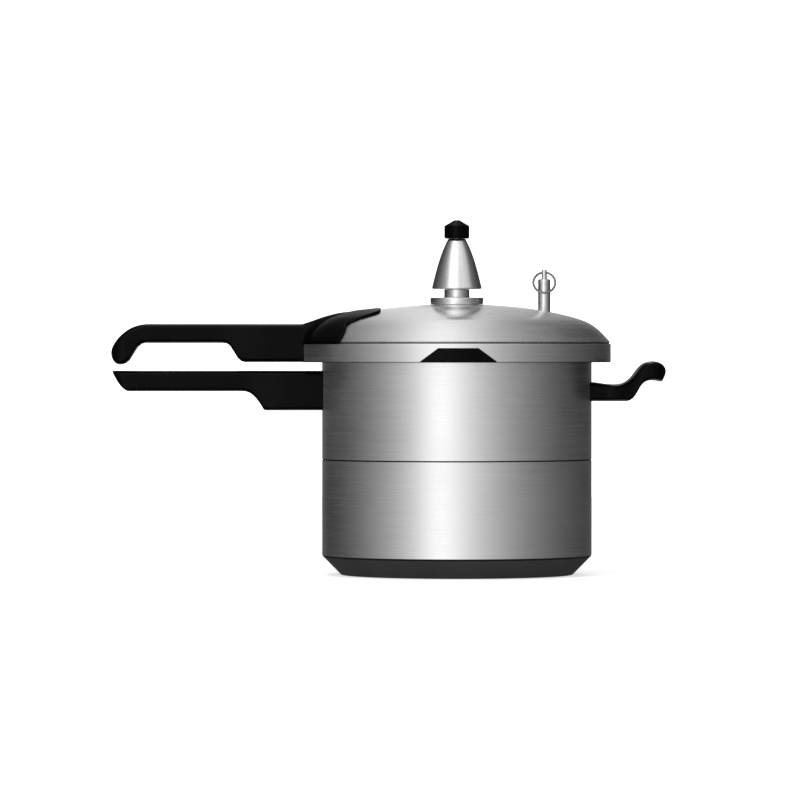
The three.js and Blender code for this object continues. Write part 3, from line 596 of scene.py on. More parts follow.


# %% [markdown]
# ## The base cap
# Under the pot is an aluminium disc held in a pressed steel cap. The cap's chamfer shows all round the
# foot. Its very dark colour is painted shade, standing in for the shadow on the downward-facing foot,
# with a faint random mottle, and a painted shade line darkens its top edge under the wall. It is turned
# as a shallow cup with a soft corner, and three shallow grooves under it leave room for the metal to
# move as it heats.

# %% The base cap and its dark finish, painted shade on a steel cap
def painted_shade_base_finish(name):
    def build(graph):
        outwards, radius, height, tangent = polar(graph)
        cloud = graph.noise(graph.place(), 22.0, 5.0, 0.6)
        lines = round_lines(graph, outwards, graph.math("ADD", radius, height), TURNING_DENSITY)
        grain = graph.noise(lines, 1.4, 3.0, 0.65)
        value = graph.math("MULTIPLY", graph.remap(cloud, 0.3, 0.7, 0.75, 1.0),
                           graph.remap(grain, 0.2, 0.8, 0.85, 1.1))
        # Painted shade: a dark line along the cap's top edge, where the gap under the wall would be in
        # shadow.
        edge = graph.math("GREATER_THAN", height, (base_height - 1.0) * MM)
        value = graph.math("MULTIPLY", value, graph.less(edge, 0.95))
        # The very dark base colour is painted shade, standing in for the shadow on the downward-facing foot;
        # the mottle across it is random tone.
        return {"Base Color": graph.mix(value, (0.006, 0.006, 0.006), (0.060, 0.060, 0.061)),
                "Metallic": 0.55, "Roughness": graph.remap(grain, 0.3, 0.7, 0.46, 0.6),
                "Tangent": tangent}, (0.15, 0.0001, grain)
    return finish_material(name, build)


base_steel = painted_shade_base_finish("painted_shade_base_steel")


def base_cap():
    foot = pot_radius - BASE_INSET
    inner = CAP_WALL * base_skew
    grooves = [corner for r in (28, 52, 76) for corner in
               ((r - 0.9, 0, 0.3), (r - 0.5, 0.4, 0.2), (r + 0.5, 0.4, 0.2), (r + 0.9, 0, 0.3))]
    profile = [(0, 0), *grooves, (foot, 0, 2.0), (pot_radius, base_height, 0.8),
               (pot_radius - inner, base_height, 0.4),
               (foot + base_slope * CAP_WALL - inner, CAP_WALL, 1.5), (0, CAP_WALL)]
    return turned(rounded(profile, closed=False), base_steel, SHELL_FACETS)


place("base_cap", base_cap(), base_steel)


# %% [markdown]
# ## The lid
# The lid is one pressing: a shallow dome, a rounded shoulder, a thin seam line and a straight skirt with
# four hooks bent inwards at its foot. The dome is part of an ellipse, so its height is a formula, and
# the handle's saddle reads the same formula later to lie flat on it.

# %% The dome's height at a radius
shoulder_radius = lid_radius - SHOULDER_INSET
ellipse_radius = lid_radius + 0.4


def ellipse_height(r):
    return rim_top + DOME_RISE * math.sqrt(1 - (r / ellipse_radius) ** 2)


def slope_height(r):
    top = ellipse_height(shoulder_radius)
    return top + (r - shoulder_radius) * (rim_top - top) / SHOULDER_INSET


blend_from, blend_to = shoulder_radius - 9.0, shoulder_radius + 7.0
blend_knots = [(blend_from, ellipse_height(blend_from)), (shoulder_radius, ellipse_height(shoulder_radius)),
               (blend_to, slope_height(blend_to))]
blend_steps = np.linspace(0, 1, 25)[:, None]
blend_arc = ((1 - blend_steps) ** 2 * np.array(blend_knots[0])
             + 2 * blend_steps * (1 - blend_steps) * np.array(blend_knots[1])
             + blend_steps ** 2 * np.array(blend_knots[2]))


def dome_height(r):
    if r <= blend_from:
        return ellipse_height(r)
    if r >= blend_to:
        return slope_height(r)
    return float(np.interp(r, blend_arc[:, 0], blend_arc[:, 1]))


def dome_above(r, distance):
    """Height of a surface that lies a distance above the dome, measured square to it."""
    slope = (dome_height(r + 0.2) - dome_height(max(r - 0.2, 0))) / 0.4
    return dome_height(r) + distance * math.hypot(1, slope)


# %% The lid's shell
def lid_shell():
    outside = [(r, dome_height(r)) for r in [VENT_HOLE, *np.linspace(10, lid_radius - 0.7, 60)]]
    underside = [(r, dome_above(r, -LID_WALL)) for r in [*np.linspace(skirt_inner - 0.1, 10, 50), VENT_HOLE]]
    hook_top = skirt_bottom + HOOK_THICKNESS
    rim = rounded([(outside[-1][0], outside[-1][1]), (lid_radius - 1.3, rim_top - 0.15),
                   (lid_radius - 1.3, rim_top - 0.75), (lid_radius, rim_top - 1.0, 0.5),
                   (lid_radius, skirt_bottom, 0.9), (lid_radius - 0.9, skirt_bottom, 0.2),
                   (skirt_inner, skirt_bottom), (skirt_inner, hook_top), (skirt_inner, hook_top + 0.4),
                   (skirt_inner, underside[0][1] - 0.4)], steps=4, closed=False)
    mesh = turned(outside + rim[1:] + underside, lid_steel, SHELL_FACETS)
    push_edge(mesh, lambda r, z: (np.abs(r - skirt_inner) < 0.05) & (z < hook_top + 0.1), -REACH)
    window = [(-WINDOW_FOOT, skirt_bottom - 1), (WINDOW_FOOT, skirt_bottom - 1),
              (WINDOW_TOP, skirt_bottom + WINDOW_HEIGHT), (-WINDOW_TOP, skirt_bottom + WINDOW_HEIGHT)]
    mesh = combine(mesh, prism(window, -lid_radius - 5, -skirt_inner + 6, axis="Y"), "DIFFERENCE")
    bore = prism(circle(VALVE_HOLE, 64, (valve_x, 0.0)), rim_top, rim_top + DOME_RISE)
    return combine(mesh, bore, "DIFFERENCE")


place("lid_shell", lid_shell(), lid_steel)


# %% [markdown]
# ## The guard in the rim's window
# A black moulded trapezoid sits in the front of the skirt. It closes the window through which the
# gasket can bulge and let steam out if everything else is blocked. It is a piece of a ring, cut to a
# trapezoid with softened edges, with a boss behind it that fills the window.

# %% The window guard
def bent_plate(wide, low, narrow, high, inner, outer):
    """A trapezoid across the front of the rim, wrapped on the skirt between two radii."""
    rows, columns = 15, 29

    def corner(side, j, i):
        z = low + (high - low) * j / (rows - 1)
        x = np.interp(z, [low, high], [wide, narrow]) * (2 * i / (columns - 1) - 1)
        return x, -math.sqrt((inner, outer)[side] ** 2 - x * x), z
    return plate(rows, columns, corner, "plate")


def window_guard():
    low, high = box_mm("rim_window_guard")
    top_half, lip, face = 16.1, 2.3, -low.y
    front = bent_plate(high.x, low.z, top_half, high.z, lid_radius + GAP, face)
    boss = bent_plate(high.x - lip, low.z + 0.02, top_half - lip, high.z - 2.2, skirt_inner + 0.2, face - 0.4)
    obj = temporary(combine(front, boss))
    bevel = obj.modifiers.new("soft edges", "BEVEL")
    bevel.width = 0.35 * MM
    bevel.segments = 3
    bevel.limit_method = "ANGLE"
    return evaluated_mesh(obj)


place("rim_window_guard", window_guard(), black_phenolic)


# %% [markdown]
# ## Turned small parts
# The vent, the weight and the valve come off a lathe. Each is a short profile with tiny rounds, and
# the weight's side is one smooth curve from its skirt to its top. Polished metal shows every corner, so
# these profiles are turned in many facets.

# %% Polished metal
polished = brushed_steel("polished_turned_steel", (0.82, 0.82, 0.83), 0.22, anisotropy=0.6)
valve_metal = brushed_steel("polished_valve_steel", (0.80, 0.80, 0.81), 0.2, anisotropy=0.5,
                            centre=(valve_x * MM, 0.0))


def bezier(start, first, second, end, steps=24):
    """Points on a cubic curve with two handles."""
    t = np.linspace(0, 1, steps + 1)[:, None]
    a, b, c, d = (np.array(p, float) for p in (start, first, second, end))
    return (1 - t) ** 3 * a + 3 * t * (1 - t) ** 2 * b + 3 * t * t * (1 - t) * c + t ** 3 * d


# %% The vent's flange and neck, pipe and washer
vent_corner = box_mm("vent_base")[1]
vent_radius, neck_top = vent_corner.x, vent_corner.z
NECK_HEIGHT, NECK_RADIUS = 6.8, 10.3
vent_top = neck_top - NECK_HEIGHT


def vent_base():
    foot = [(r, dome_above(r, GAP)) for r in np.linspace(VENT_HOLE, vent_radius - 0.2, 8)]
    recess, upper = vent_radius - 0.75, vent_radius - 0.35
    rim = [(vent_radius, foot[-1][1] + 0.3, 0.1), (vent_radius, vent_top - 4.9, 0.2),
           (recess, vent_top - 4.6, 0.1), (recess, vent_top - 4.2, 0.1), (upper, vent_top - 3.9, 0.2),
           (upper, vent_top, 0.8), (NECK_RADIUS + 0.6, vent_top, 0.4), (NECK_RADIUS, vent_top + 0.5, 0.4),
           (NECK_RADIUS, neck_top, 0.5), (VENT_HOLE, neck_top, 0.2)]
    return turned(foot + rounded(rim, closed=False), polished, 128)


def vent_pipe():
    low, high = box_mm("vent_pipe")
    bore, collar = 1.6, PIPE_RADIUS + 0.8
    depth, half_pitch = 0.35, 0.6
    threads = [(PIPE_RADIUS - depth * (k % 2), low.z + half_pitch * k) for k in range(1, 18)]
    profile = [(bore, low.z), (PIPE_RADIUS - 0.4, low.z), *threads, (PIPE_RADIUS, neck_top + GAP),
               (collar, neck_top + GAP, 0.2), (collar, neck_top + 2.5, 0.4), (PIPE_RADIUS, neck_top + 3, 0.2),
               (PIPE_RADIUS, high.z - 1, 0.4), (3.5, high.z, 0.3), (1.9, high.z, 0.3), (bore, high.z - 0.4)]
    return turned(rounded(profile), plain_steel, 96)


def centre_and_radius(low, high):
    return ((low.x + high.x) / 2, (low.y + high.y) / 2), (high.x - low.x) / 2


def plain_ring(node, inner, material, edge):
    low, high = box_mm(node)
    centre, outer = centre_and_radius(low, high)
    corners = [(inner, low.z, edge), (outer, low.z, edge), (outer, high.z, edge), (inner, high.z, edge)]
    return turned(rounded(corners), material, 96, centre)


place("vent_base", vent_base(), polished)
place("vent_pipe", vent_pipe(), plain_steel)
place("vent_washer", plain_ring("vent_washer", VENT_HOLE, white_silicone, 0.5), white_silicone)


# %% The weight and its cap
STUD_RADIUS = 3.0


def weight_body():
    low, high = box_mm("weight_body")
    bottom, top, roof = low.z, low.z + 40.8, low.z + 13.5
    skirt, crown, cavity, needle = 20.4, 7.2, 5.8, 2.3
    side = [tuple(p) for p in bezier((skirt, bottom + 0.9), (17.7, bottom + 11), (14.6, bottom + 27),
                                     (crown, top - 0.2), 48)]
    profile = [(cavity, bottom), (skirt - 0.8, bottom), *side, (crown - 0.3, top + 0.05), (STUD_RADIUS, top),
               (STUD_RADIUS, high.z), (0, high.z), (0, roof + 6), (needle, roof + 6), (needle, roof),
               (cavity, roof)]
    return turned(profile, polished, 160)


def weight_cap():
    low, high = box_mm("weight_cap")
    outer, bottom, socket = high.x, low.z, STUD_RADIUS + GAP
    profile = [(0, bottom + 7), (socket, bottom + 7), (socket, bottom), (outer - 0.9, bottom, 0.5),
               (outer, bottom + 0.9, 0.5), (outer, bottom + 10.3, 0.7), (2.3, high.z, 0.9), (0, high.z)]
    return turned(rounded(profile, closed=False), black_phenolic, 128)


place("weight_body", weight_body(), polished)
place("weight_cap", weight_cap(), black_phenolic)


# %% [markdown]
# ## The safety valve
# Beside the weight stands a small spring valve with a pull ring. Its body is a turned tube, the stem
# comes out through a plug in its top, and the ring is bent wire through the stem's eye. The ring is
# a circle of wire turned about its own centre, then leant against the valve.

# %% The valve's body, plug and stem
def valve_body():
    bottom, top = valve_low.z, valve_high.z
    outer = (valve_high.x - valve_low.x) / 2
    seat, chamber, floor, recess = 2.0, 3.6, valve_low.z + 8.4, outer - 0.35
    profile = [(seat, bottom), (outer - 0.3, bottom, 0.3), (outer, bottom + 1), (outer, top - 5.2, 0.15),
               (recess, top - 5.0), (recess, top - 4.6), (outer, top - 4.4, 0.15), (outer, top - 0.9, 0.5),
               (outer - 0.9, top, 0.4), (chamber, top), (chamber, floor), (seat, floor)]
    return turned(rounded(profile), valve_metal, 96, (valve_x, 0.0))


def valve_stem():
    low, high = box_mm("valve_stem")
    neck, rod, collar, eye_radius = 1.0, 1.5, 3.2, 1.4
    seat, wide_from, top = low.z + 3.8, box_mm("valve_top_plug")[0].z + 0.5, high.z
    profile = [(0, low.z), (neck, low.z), (neck, seat), (collar, seat), (collar, seat + 2.5),
               (rod, seat + 2.5), (rod, wide_from), (STEM_RADIUS, wide_from), (STEM_RADIUS, top - 4.8, 0.2),
               (STEM_RADIUS - 0.25, top - 4.5), (STEM_RADIUS, top - 4.2, 0.2), (STEM_RADIUS, top, 0.9),
               (0, top)]
    stem = turned(rounded(profile, closed=False), valve_metal, 64, (valve_x, 0.0))
    eye = prism(circle(eye_radius, 32), -5, 5)
    eye.transform(Matrix.Translation((valve_x * MM, 0, (top - EYE_DROP) * MM))
                  @ Matrix.Rotation(math.pi / 2, 4, "Y"))
    return combine(stem, eye, "DIFFERENCE")


place("valve_body", valve_body(), valve_metal)
place("valve_top_plug", plain_ring("valve_top_plug", STEM_RADIUS + GAP, valve_metal, 0.25), valve_metal)
place("valve_stem", valve_stem(), valve_metal)


# %% The pull ring
def pull_ring():
    wire, radius, tilt = 0.95, 8.9, 21.5
    eye_height = box_mm("valve_stem")[1].z - EYE_DROP
    mesh = turned(circle(wire, 16, (radius, 0.0)), valve_metal, 96)
    mesh.transform(Matrix.Translation((valve_x * MM, 0, eye_height * MM))
                   @ Matrix.Rotation(-math.radians(tilt), 4, "X") @ Matrix.Translation((0, 0, -radius * MM))
                   @ Matrix.Rotation(math.pi / 2, 4, "X"))
    return mesh


ring_steel = plain_metal("ring_wire_steel", (0.20, 0.20, 0.21), 0.24)
place("pull_ring", pull_ring(), ring_steel)


# %% [markdown]
# ## Handles as lofts
# The handles are moulded phenolic. Seen from the side each has a drawn outline, and seen from the end it
# is a rectangle with generous rounds. So each handle is a loft: at each station along it a ring is made
# from the outline's top and bottom and from the width there, and the rings are skinned. A subdivided box
# would be quicker to start, but the outline would drift with every loop.

# %% Outlines and rings
RING_POINTS = 72
SQUARENESS = 4.2
TIP_POWER = 2.6
WELL_DEPTH, WELL_RADIUS = 5.0, 4.3  # the round recess where a screw sits
ROOT_LENGTH = 47  # of both long handles
POT_GRIP, HELPER_THICKNESS = 16.9, 15.7


def unit(value):
    return min(max(value, 0.0), 1.0)


def smooth(x, low, high):
    t = unit((x - low) / (high - low))
    return t * t * (3 - 2 * t)


def chain(start, *curves):
    """Cubic curves end to end. Each is given by its two handles and its end."""
    made = []
    for first, second, end in curves:
        made.append(bezier(start, first, second, end))
        start = end
    return made


def split_outline(points):
    """Splits an outline that runs out along the bottom and back along the top at its tip."""
    points = np.vstack(points)
    tip = int(np.argmax(points[:, 0]))
    return points[:tip + 1], points[tip:][::-1]


def height_on(curve, x):
    return float(np.interp(x, curve[:, 0], curve[:, 1]))


def section(top, bottom, half, corner):
    """A ring of (y, z): straight sides with pillow-soft corners above and below."""
    soft = min(corner, (top - bottom) / 2)
    angles = np.linspace(0, 2 * np.pi, RING_POINTS, endpoint=False) + np.pi / RING_POINTS
    sine, cosine = np.sin(angles), np.cos(angles)
    y = half * np.sign(cosine) * np.abs(cosine) ** (2 / SQUARENESS)
    rise = np.abs(sine) ** (2 / SQUARENESS)
    return y, np.where(sine > 0, top - soft + soft * rise, bottom + soft - soft * rise)


def skin(rings):
    """Skins rings of the same number of points and closes both ends with upright strips."""
    made = bmesh.new()
    rows = [[made.verts.new(Vector(p) * MM) for p in ring] for ring in rings]
    for first, second in zip(rows, rows[1:]):
        for i in range(len(first)):
            j = (i + 1) % len(first)
            made.faces.new((first[i], first[j], second[j], second[i]))
    last = len(rows[0]) - 1
    for row in (rows[0], rows[-1]):
        for i in range(last // 2):
            made.faces.new((row[i], row[i + 1], row[last - i - 1], row[last - i]))
    return closed(made, "loft")


def stations(start, end, step, tip_length):
    """Distances from start to end, closer and closer together over the tip."""
    plain = list(np.arange(start, end - tip_length, step))
    return plain + [end - tip_length * (1 - math.sin(a)) for a in np.linspace(0, math.pi / 2, 16)]


def tip_share(x, end, length):
    """How much of the width is left near a tip that is round when seen from above."""
    return max(1 - unit((x - (end - length)) / length) ** TIP_POWER, 0.0) ** (1 / TIP_POWER)


def wall_loft(outline, half_width, start, step, tip_length, corner):
    """A loft outwards from the pot's wall. The first ring is bent to the wall's radius."""
    lower, upper = split_outline(outline)
    wall, end = pot_radius + GAP, max(lower[:, 0])
    rings = []
    for x in [None, *stations(wall + start, end - 0.02, step, tip_length)]:
        at = wall if x is None else x
        y, z = section(height_on(upper, at), height_on(lower, at), half_width(at), corner)
        along = np.sqrt(wall ** 2 - y ** 2) if x is None else np.full_like(y, at)
        rings.append(np.stack([along, y, z], axis=1))
    return skin(rings)


def with_wells(mesh, places, low):
    """Cuts a screw's recess into the underside at each distance."""
    for x in places:
        well = prism(circle(WELL_RADIUS, 48, (x, 0.0)), low - 3, low + WELL_DEPTH)
        mesh = combine(mesh, well, "DIFFERENCE")
    return mesh


def turn_about(mesh):
    """The long handles point along -X: a half turn about the upright axis."""
    mesh.transform(Matrix.Rotation(math.pi, 4, "Z"))
    return mesh


# %% [markdown]
# ## The pot's long handle
# The lower handle has a deep root against the wall and a flat grip that is pointed at its upper edge.
# The root's face follows the wall, so the first ring is bent to the wall's radius.

# %% The pot handle
def pot_handle():
    low, high = box_mm("pot_handle")
    top, bottom, tip = high.z, low.z, -low.x
    root, under = pot_radius + ROOT_LENGTH, top - POT_GRIP
    outline = [[(pot_radius - 8, bottom)],
               bezier((root, bottom), (root + 5, under - 7), (root + 10, under), (root + 16.5, under)),
               bezier((tip - 14, under), (tip - 9, under), (tip - 4, under + 7.5), (tip, top - 0.8)),
               [(tip - 0.8, top), (pot_radius - 8, top)]]

    root_half, narrowing, thinnest = 17.0, 2.5, 0.4

    def half_width(at):
        half = root_half - narrowing * smooth(at, root - 20, root + 20)
        return max(half * tip_share(at, tip, 11.0), thinnest)
    mesh = wall_loft(outline, half_width, start=2.0, step=3.0, tip_length=12.0, corner=6.0)
    return turn_about(with_wells(mesh, [pot_radius + 28], bottom))


place("pot_handle", pot_handle(), black_phenolic)


# %% [markdown]
# ## The helper handle
# Opposite is a short lug for two-handed lifting. It widens outwards and turns up into a knob, so a thumb
# can rest on it. The same loft does it with another outline.

# %% The helper handle
def helper_handle():
    low, high = box_mm("helper_handle")
    bottom, knob_top, end = low.z, high.z, high.x
    top = bottom + HELPER_THICKNESS
    root_half, widening, tip_left = 23.0, 8.0, 0.35
    outline = [[(pot_radius - 8, bottom)], *chain(
        (end - 33, bottom),
        ((end - 22, bottom), (end - 24, top + 0.5), (end - 13, top + 1.3)),
        ((end - 9, top + 1.3), (end - 6, top + 0.8), (end - 3.7, top + 0.1)),
        ((end - 1.5, top + 2.5), (end, top + 6.5), (end, top + 9)),
        ((end, top + 13.5), (end - 4.5, knob_top), (end - 11, knob_top)),
        ((end - 26, knob_top), (end - 23, top - 1.8), (end - 42, top - 1.8)),
        ((end - 50, top - 1.8), (end - 56, top), (pot_radius, top))), [(pot_radius - 8, top)]]

    def half_width(at):
        half = root_half + widening * smooth(at, pot_radius + 10, end - 15)
        return half * (tip_left + (1 - tip_left) * tip_share(at, end, 12.0))
    mesh = wall_loft(outline, half_width, start=1.5, step=1.5, tip_length=10.0, corner=5.0)
    return with_wells(mesh, [pot_radius + 17], bottom)


place("helper_handle", helper_handle(), black_phenolic)


# %% [markdown]
# ## The lid's handle
# The upper handle is the biggest moulding. A saddle hugs the shoulder of the lid, an arm grows out of
# it, and the grip ends in a nose that hooks down over the tip of the lower handle. The saddle is a
# sheet over the dome's own formula, the arm is a loft, and a boolean joins the two.

# %% The saddle over the lid's shoulder
SADDLE_INNER = 62.0  # distance of the inner edge from the axis
SADDLE_HALF, SADDLE_FLARED = 65.5, 83.5  # half the width on the dome and at the rim
SADDLE_THICKNESS = 2.4
SADDLE_SOFT = 1.6  # width of the rounded edge
SLOPE_LENGTH = 35.0  # the arm rises over this length of the shoulder
arm_top = rim_top + 15.4
saddle_reach = lid_radius + GAP + 1.0


def saddle_half_width(r):
    """Half the saddle's width, measured along the circle of radius r."""
    inner = math.sqrt(max(r * r - SADDLE_INNER ** 2, 0.0))
    knee = [(62, 0), (76.5, 45.0), (80, 50.5), (86, 58), (92, 62), (97, 64.5), (102, SADDLE_HALF + 0.6),
            (106, 67.4), (110, 67.6), (113, 69.4), (115, 72.0), (117, 75.0), (121, 79.0),
            (127, SADDLE_FLARED + 0.6)]
    return min(inner, float(np.interp(r, *zip(*knee)))) if r > 76 else inner


def saddle_limit(x):
    """The line that the top of the tongue doesn't rise above."""
    start = dome_above(SADDLE_INNER, GAP) + 0.7
    rise = (arm_top + 10.3 - start) / (lid_radius - SLOPE_LENGTH - SADDLE_INNER)
    return start + (x - SADDLE_INNER) * rise


def saddle_top(x, y):
    r = min(math.hypot(x, y), lid_radius - 0.5)
    return min(dome_above(r, GAP + SADDLE_THICKNESS), max(saddle_limit(x), dome_above(r, GAP + 0.8)))


def saddle():
    radii = np.concatenate([np.linspace(62, 66, 9), np.linspace(67, 122, 42),
                            np.linspace(122.6, lid_radius - 0.4, 5), [saddle_reach - 0.6, saddle_reach]])
    sides = np.sin(np.linspace(-math.pi / 2, math.pi / 2, 81))

    def corner(side, j, i):
        r = radii[j]
        half = saddle_half_width(r)
        width = half * sides[i]
        angle = math.copysign(math.asin(min(abs(width) / r, 1.0)), width)
        x, y = r * math.cos(angle), r * math.sin(angle)
        bed = dome_above(min(r, lid_radius - 0.2), GAP)
        if side == 0:
            return x, y, bed if r < lid_radius else rim_top - 1.0
        if r > saddle_reach - 0.7:
            return x, y, rim_top + (2.2 if r < saddle_reach - 0.1 else 1.4)
        edge = min(half - abs(width), x - SADDLE_INNER, SADDLE_SOFT)
        soft = math.sqrt(max(1 - (1 - max(edge, 0.0) / SADDLE_SOFT) ** 2, 0.0))
        return x, y, bed + (saddle_top(x, y) - bed) * (0.15 + 0.85 * soft)
    return plate(len(radii), len(sides), corner, "saddle", weld=True)


# %% The arm, the grip and the nose
LID_REACH = 156.7  # beyond the skirt
LID_GRIP, ROOT_DEPTH, NOSE_DROP = 15.6, 31.2, 33.2
ARM_HALF, ARM_NARROWING = 18.0, 3.0
FILLET = 7.0  # widest, where the arm meets the saddle


def lid_arm():
    top, end, root = arm_top, lid_radius + LID_REACH, lid_radius + ROOT_LENGTH
    bottom, under, low = top - ROOT_DEPTH, top - LID_GRIP, top - NOSE_DROP
    face = lid_radius + GAP
    lower, upper = split_outline([
        [(face - 10, bottom)],
        bezier((root, bottom), (root + 9, bottom), (root + 9, under), (root + 17, under)),
        *chain((end - 29, under),
               ((end - 17, under), (end - 20, low), (end - 7.5, low)),
               ((end - 2, low), (end + 1.6, low + 8), (end - 1.6, low + 15)),
               ((end - 7, low + 25), (end - 17, top), (end - 31, top))),
        bezier((lid_radius, top), (lid_radius - 11, top + 3.5), (lid_radius - 22, top + 8.5),
               (lid_radius - SLOPE_LENGTH, top + 9.8)),
        [(SADDLE_INNER, dome_above(SADDLE_INNER, GAP) + 0.6)]])
    tip = float(lower[:, 0].max())

    def ring(at, floor, curved=False, over_lid=False):
        half = ARM_HALF - ARM_NARROWING * smooth(at, lid_radius + 25, lid_radius + 75)
        half *= 0.25 + 0.75 * tip_share(at, tip, 12.0)
        y, z = section(height_on(upper, at), floor, half, 6.0)
        along = np.sqrt(face ** 2 - y ** 2) if curved else np.full_like(y, at)
        if over_lid:
            foot = np.array([saddle_top(a, b) for a, b in zip(along, y)])
            fillet = max(min(FILLET, 0.8 * (height_on(upper, at) - foot.max())), 0.05)
            fillet *= 1 - smooth(at, 112, 126)
            near = np.clip(1 - (z - foot) / max(fillet, 0.05), 0, 1) ** 2
            y = y + np.sign(y) * fillet * near * (np.abs(y) > half * 0.5)
            radius = np.minimum(np.hypot(along, y), lid_radius - 0.3)
            bed = np.array([dome_above(r, GAP + 0.4) for r in radius])
            z = np.where(z > floor + 0.6, np.maximum(z, bed + 0.5), bed)
        return np.stack([along, y, z], axis=1)
    rings = [ring(at, dome_height(min(at, lid_radius - 1)) - 2.0, over_lid=True)
             for at in np.arange(80, face - 2, 2.0)]
    rings += [ring(face, rim_top - 1, curved=True, over_lid=True), ring(face, bottom, curved=True)]
    rings += [ring(at, height_on(lower, at)) for at in stations(face + 2, tip - 0.02, 3.0, 36.0)]
    return skin(rings)


def lid_handle():
    mesh = combine(lid_arm(), saddle())
    return turn_about(with_wells(mesh, [lid_radius + 12, lid_radius + 32], arm_top - ROOT_DEPTH))


place("lid_handle", lid_handle(), black_phenolic)


# %% [markdown]
# ## The gasket
# A silicone ring seals the lid. It hides under the rim until the lid is lifted. Its section has a heavy
# back and a soft lip that steam pushes against the flange.

# %% The gasket
def gasket():
    low, high = box_mm("lid_gasket")
    outer, bottom, top = high.x, low.z, high.z - 0.6
    band, lip = outer - 5.5, outer - 13.5
    profile = [(outer, bottom, 0.8), (outer, top, 0.6), (outer - 2.5, top + 0.6, 0.8), (band, top - 2, 0.8),
               (band - 1, bottom + 4.0, 1.5), (outer - 12.0, bottom + 2.6, 0.8),
               (lip, bottom + 1.3, 0.5), (lip + 0.5, bottom, 0.4)]
    return turned(rounded(profile), white_silicone, 240)


place("lid_gasket", gasket(), white_silicone)


# %% [markdown]
# ## Screws and nuts
# The screws repeat, so Geometry Nodes place them. A screw is turned once, its cross is cut, and the tree
# puts a copy at every place. Each body has its own places, because the pot's screws stay behind when the
# lid is lifted. The two nuts differ in size, so each is cut from a hexagon of its own.

# %% The tree that puts one part at many places
def scattering(graph, source):
    part = graph.add("GeometryNodeObjectInfo", {"Object": source["Part"]}).outputs["Geometry"]
    number = graph.add("GeometryNodeInputIndex").outputs[0]
    angles = graph.join(0.0, 0.0, graph.math("MULTIPLY", number, source["Turn"]))
    return graph.add("GeometryNodeInstanceOnPoints", {"Points": source["Geometry"], "Instance": part,
                                                      "Rotation": angles}).outputs[0]


scatter = modifier_tree("one_part_at_many_places", {"Part": "Object", "Turn": "Float"}, scattering)


def scattered(part_mesh, places, material, turn):
    """A part at every place, each copy turned by one more step than the last."""
    part = temporary(part_mesh, "part")
    points = [tuple(v * MM for v in p) for p in places]
    mesh = grown(scatter, points, [], {"Part": part, "Turn": turn, "Finish": material})
    bpy.data.objects.remove(part)
    return mesh


# %% The screws under the handles
def pan_head_screw(length):
    """A screw with its head down, standing with the underside of its head at height 0."""
    head, shank, pitch = 4.0, 2.0, 0.8
    profile = [(0, -HEAD_HEIGHT), (2.4, -3.3, 0.8), (head, -1.9, 1.0), (head, 0, 0.3), (shank, 0)]
    thread = [(shank - 0.25 * (k % 2), pitch / 2 * k) for k in range(1, int(length / (pitch / 2)))]
    body = turned(rounded(profile, closed=False) + thread + [(0, length)], plain_steel, 32)
    for across, along in ((2.6, 0.45), (0.45, 2.6)):
        slot = prism([(-across, -along), (across, -along), (across, along), (-across, along)], -5, -2.1)
        body = combine(body, slot, "DIFFERENCE")
    return body


def screws(nodes, name):
    boxes = [box_mm(node) for node in nodes]
    middle = [((a.x + b.x) / 2, 0.0, a.z + HEAD_HEIGHT) for a, b in boxes]
    length = min(b.z - a.z for a, b in boxes) - HEAD_HEIGHT
    place(nodes, scattered(pan_head_screw(length), middle, plain_steel, 0.6), plain_steel, name)


screws(["pot_handle_screw", "helper_handle_screw"], "pot_handle_screws_fine")
screws(["lid_handle_screw_inner", "lid_handle_screw_outer"], "lid_handle_screws_fine")


# %% The two nuts inside the lid
def hex_nut(node, bore):
    """A hexagon with its corners turned off above and below, and a bore with a countersink."""
    low, high = box_mm(node)
    centre, radius = centre_and_radius(low, high)
    chamfer, sink = 1.1, 0.4
    slanted = radius - chamfer * 1.6
    blank = turned([(bore, low.z + sink), (bore + sink, low.z), (slanted, low.z), (radius, low.z + chamfer),
                    (radius, high.z - chamfer), (slanted, high.z), (bore + sink, high.z),
                    (bore, high.z - sink)], plain_steel, 96, centre)
    return combine(prism(circle(radius, 6, centre), low.z, high.z), blank, "INTERSECT")


place("vent_nut", hex_nut("vent_nut", VENT_HOLE), plain_steel)
place("valve_nut", hex_nut("valve_nut", VALVE_HOLE), plain_steel)


# %% [markdown]
# ## The guard under the vent
# Inside the lid a slotted cup keeps food out of the vent pipe. The cup is turned, and the slots repeat
# round it, so the same tree turns one cutter to every place and a boolean takes them out.

# %% The vent guard
def vent_guard():
    low, high = box_mm("vent_guard")
    wall, slot_half = 1.0, 1.4
    outer, inside = high.x, high.x - wall
    floor, roof = low.z + wall, high.z - wall
    profile = [(0, low.z), (outer, low.z, 1.2), (outer, high.z, 0.8), (VENT_HOLE, high.z), (VENT_HOLE, roof),
               (inside, roof, 0.4), (inside, floor, 0.6), (0, floor)]
    cup = turned(rounded(profile, closed=False), plain_steel, 128)
    tall, far = (high.z - low.z) / 2 - 2, outer + 5
    cutter = prism([(-far, -slot_half), (far, -slot_half), (far, slot_half), (-far, slot_half)], -tall, tall)
    slots = scattered(cutter, [(0, 0, (low.z + high.z) / 2)] * 4, plain_steel, math.pi / 4)
    return combine(cup, slots, "DIFFERENCE", crossing=True)


place("vent_guard", vent_guard(), plain_steel)


# %% [markdown]
# ## The valve's spring
# A coil inside the valve's body presses the stem down. A spiral is a rule, so a small tree draws it: the
# Spiral node gives the path and a circle of wire is swept along it. When the stem lifts, the coil is
# squeezed against the plug above it.

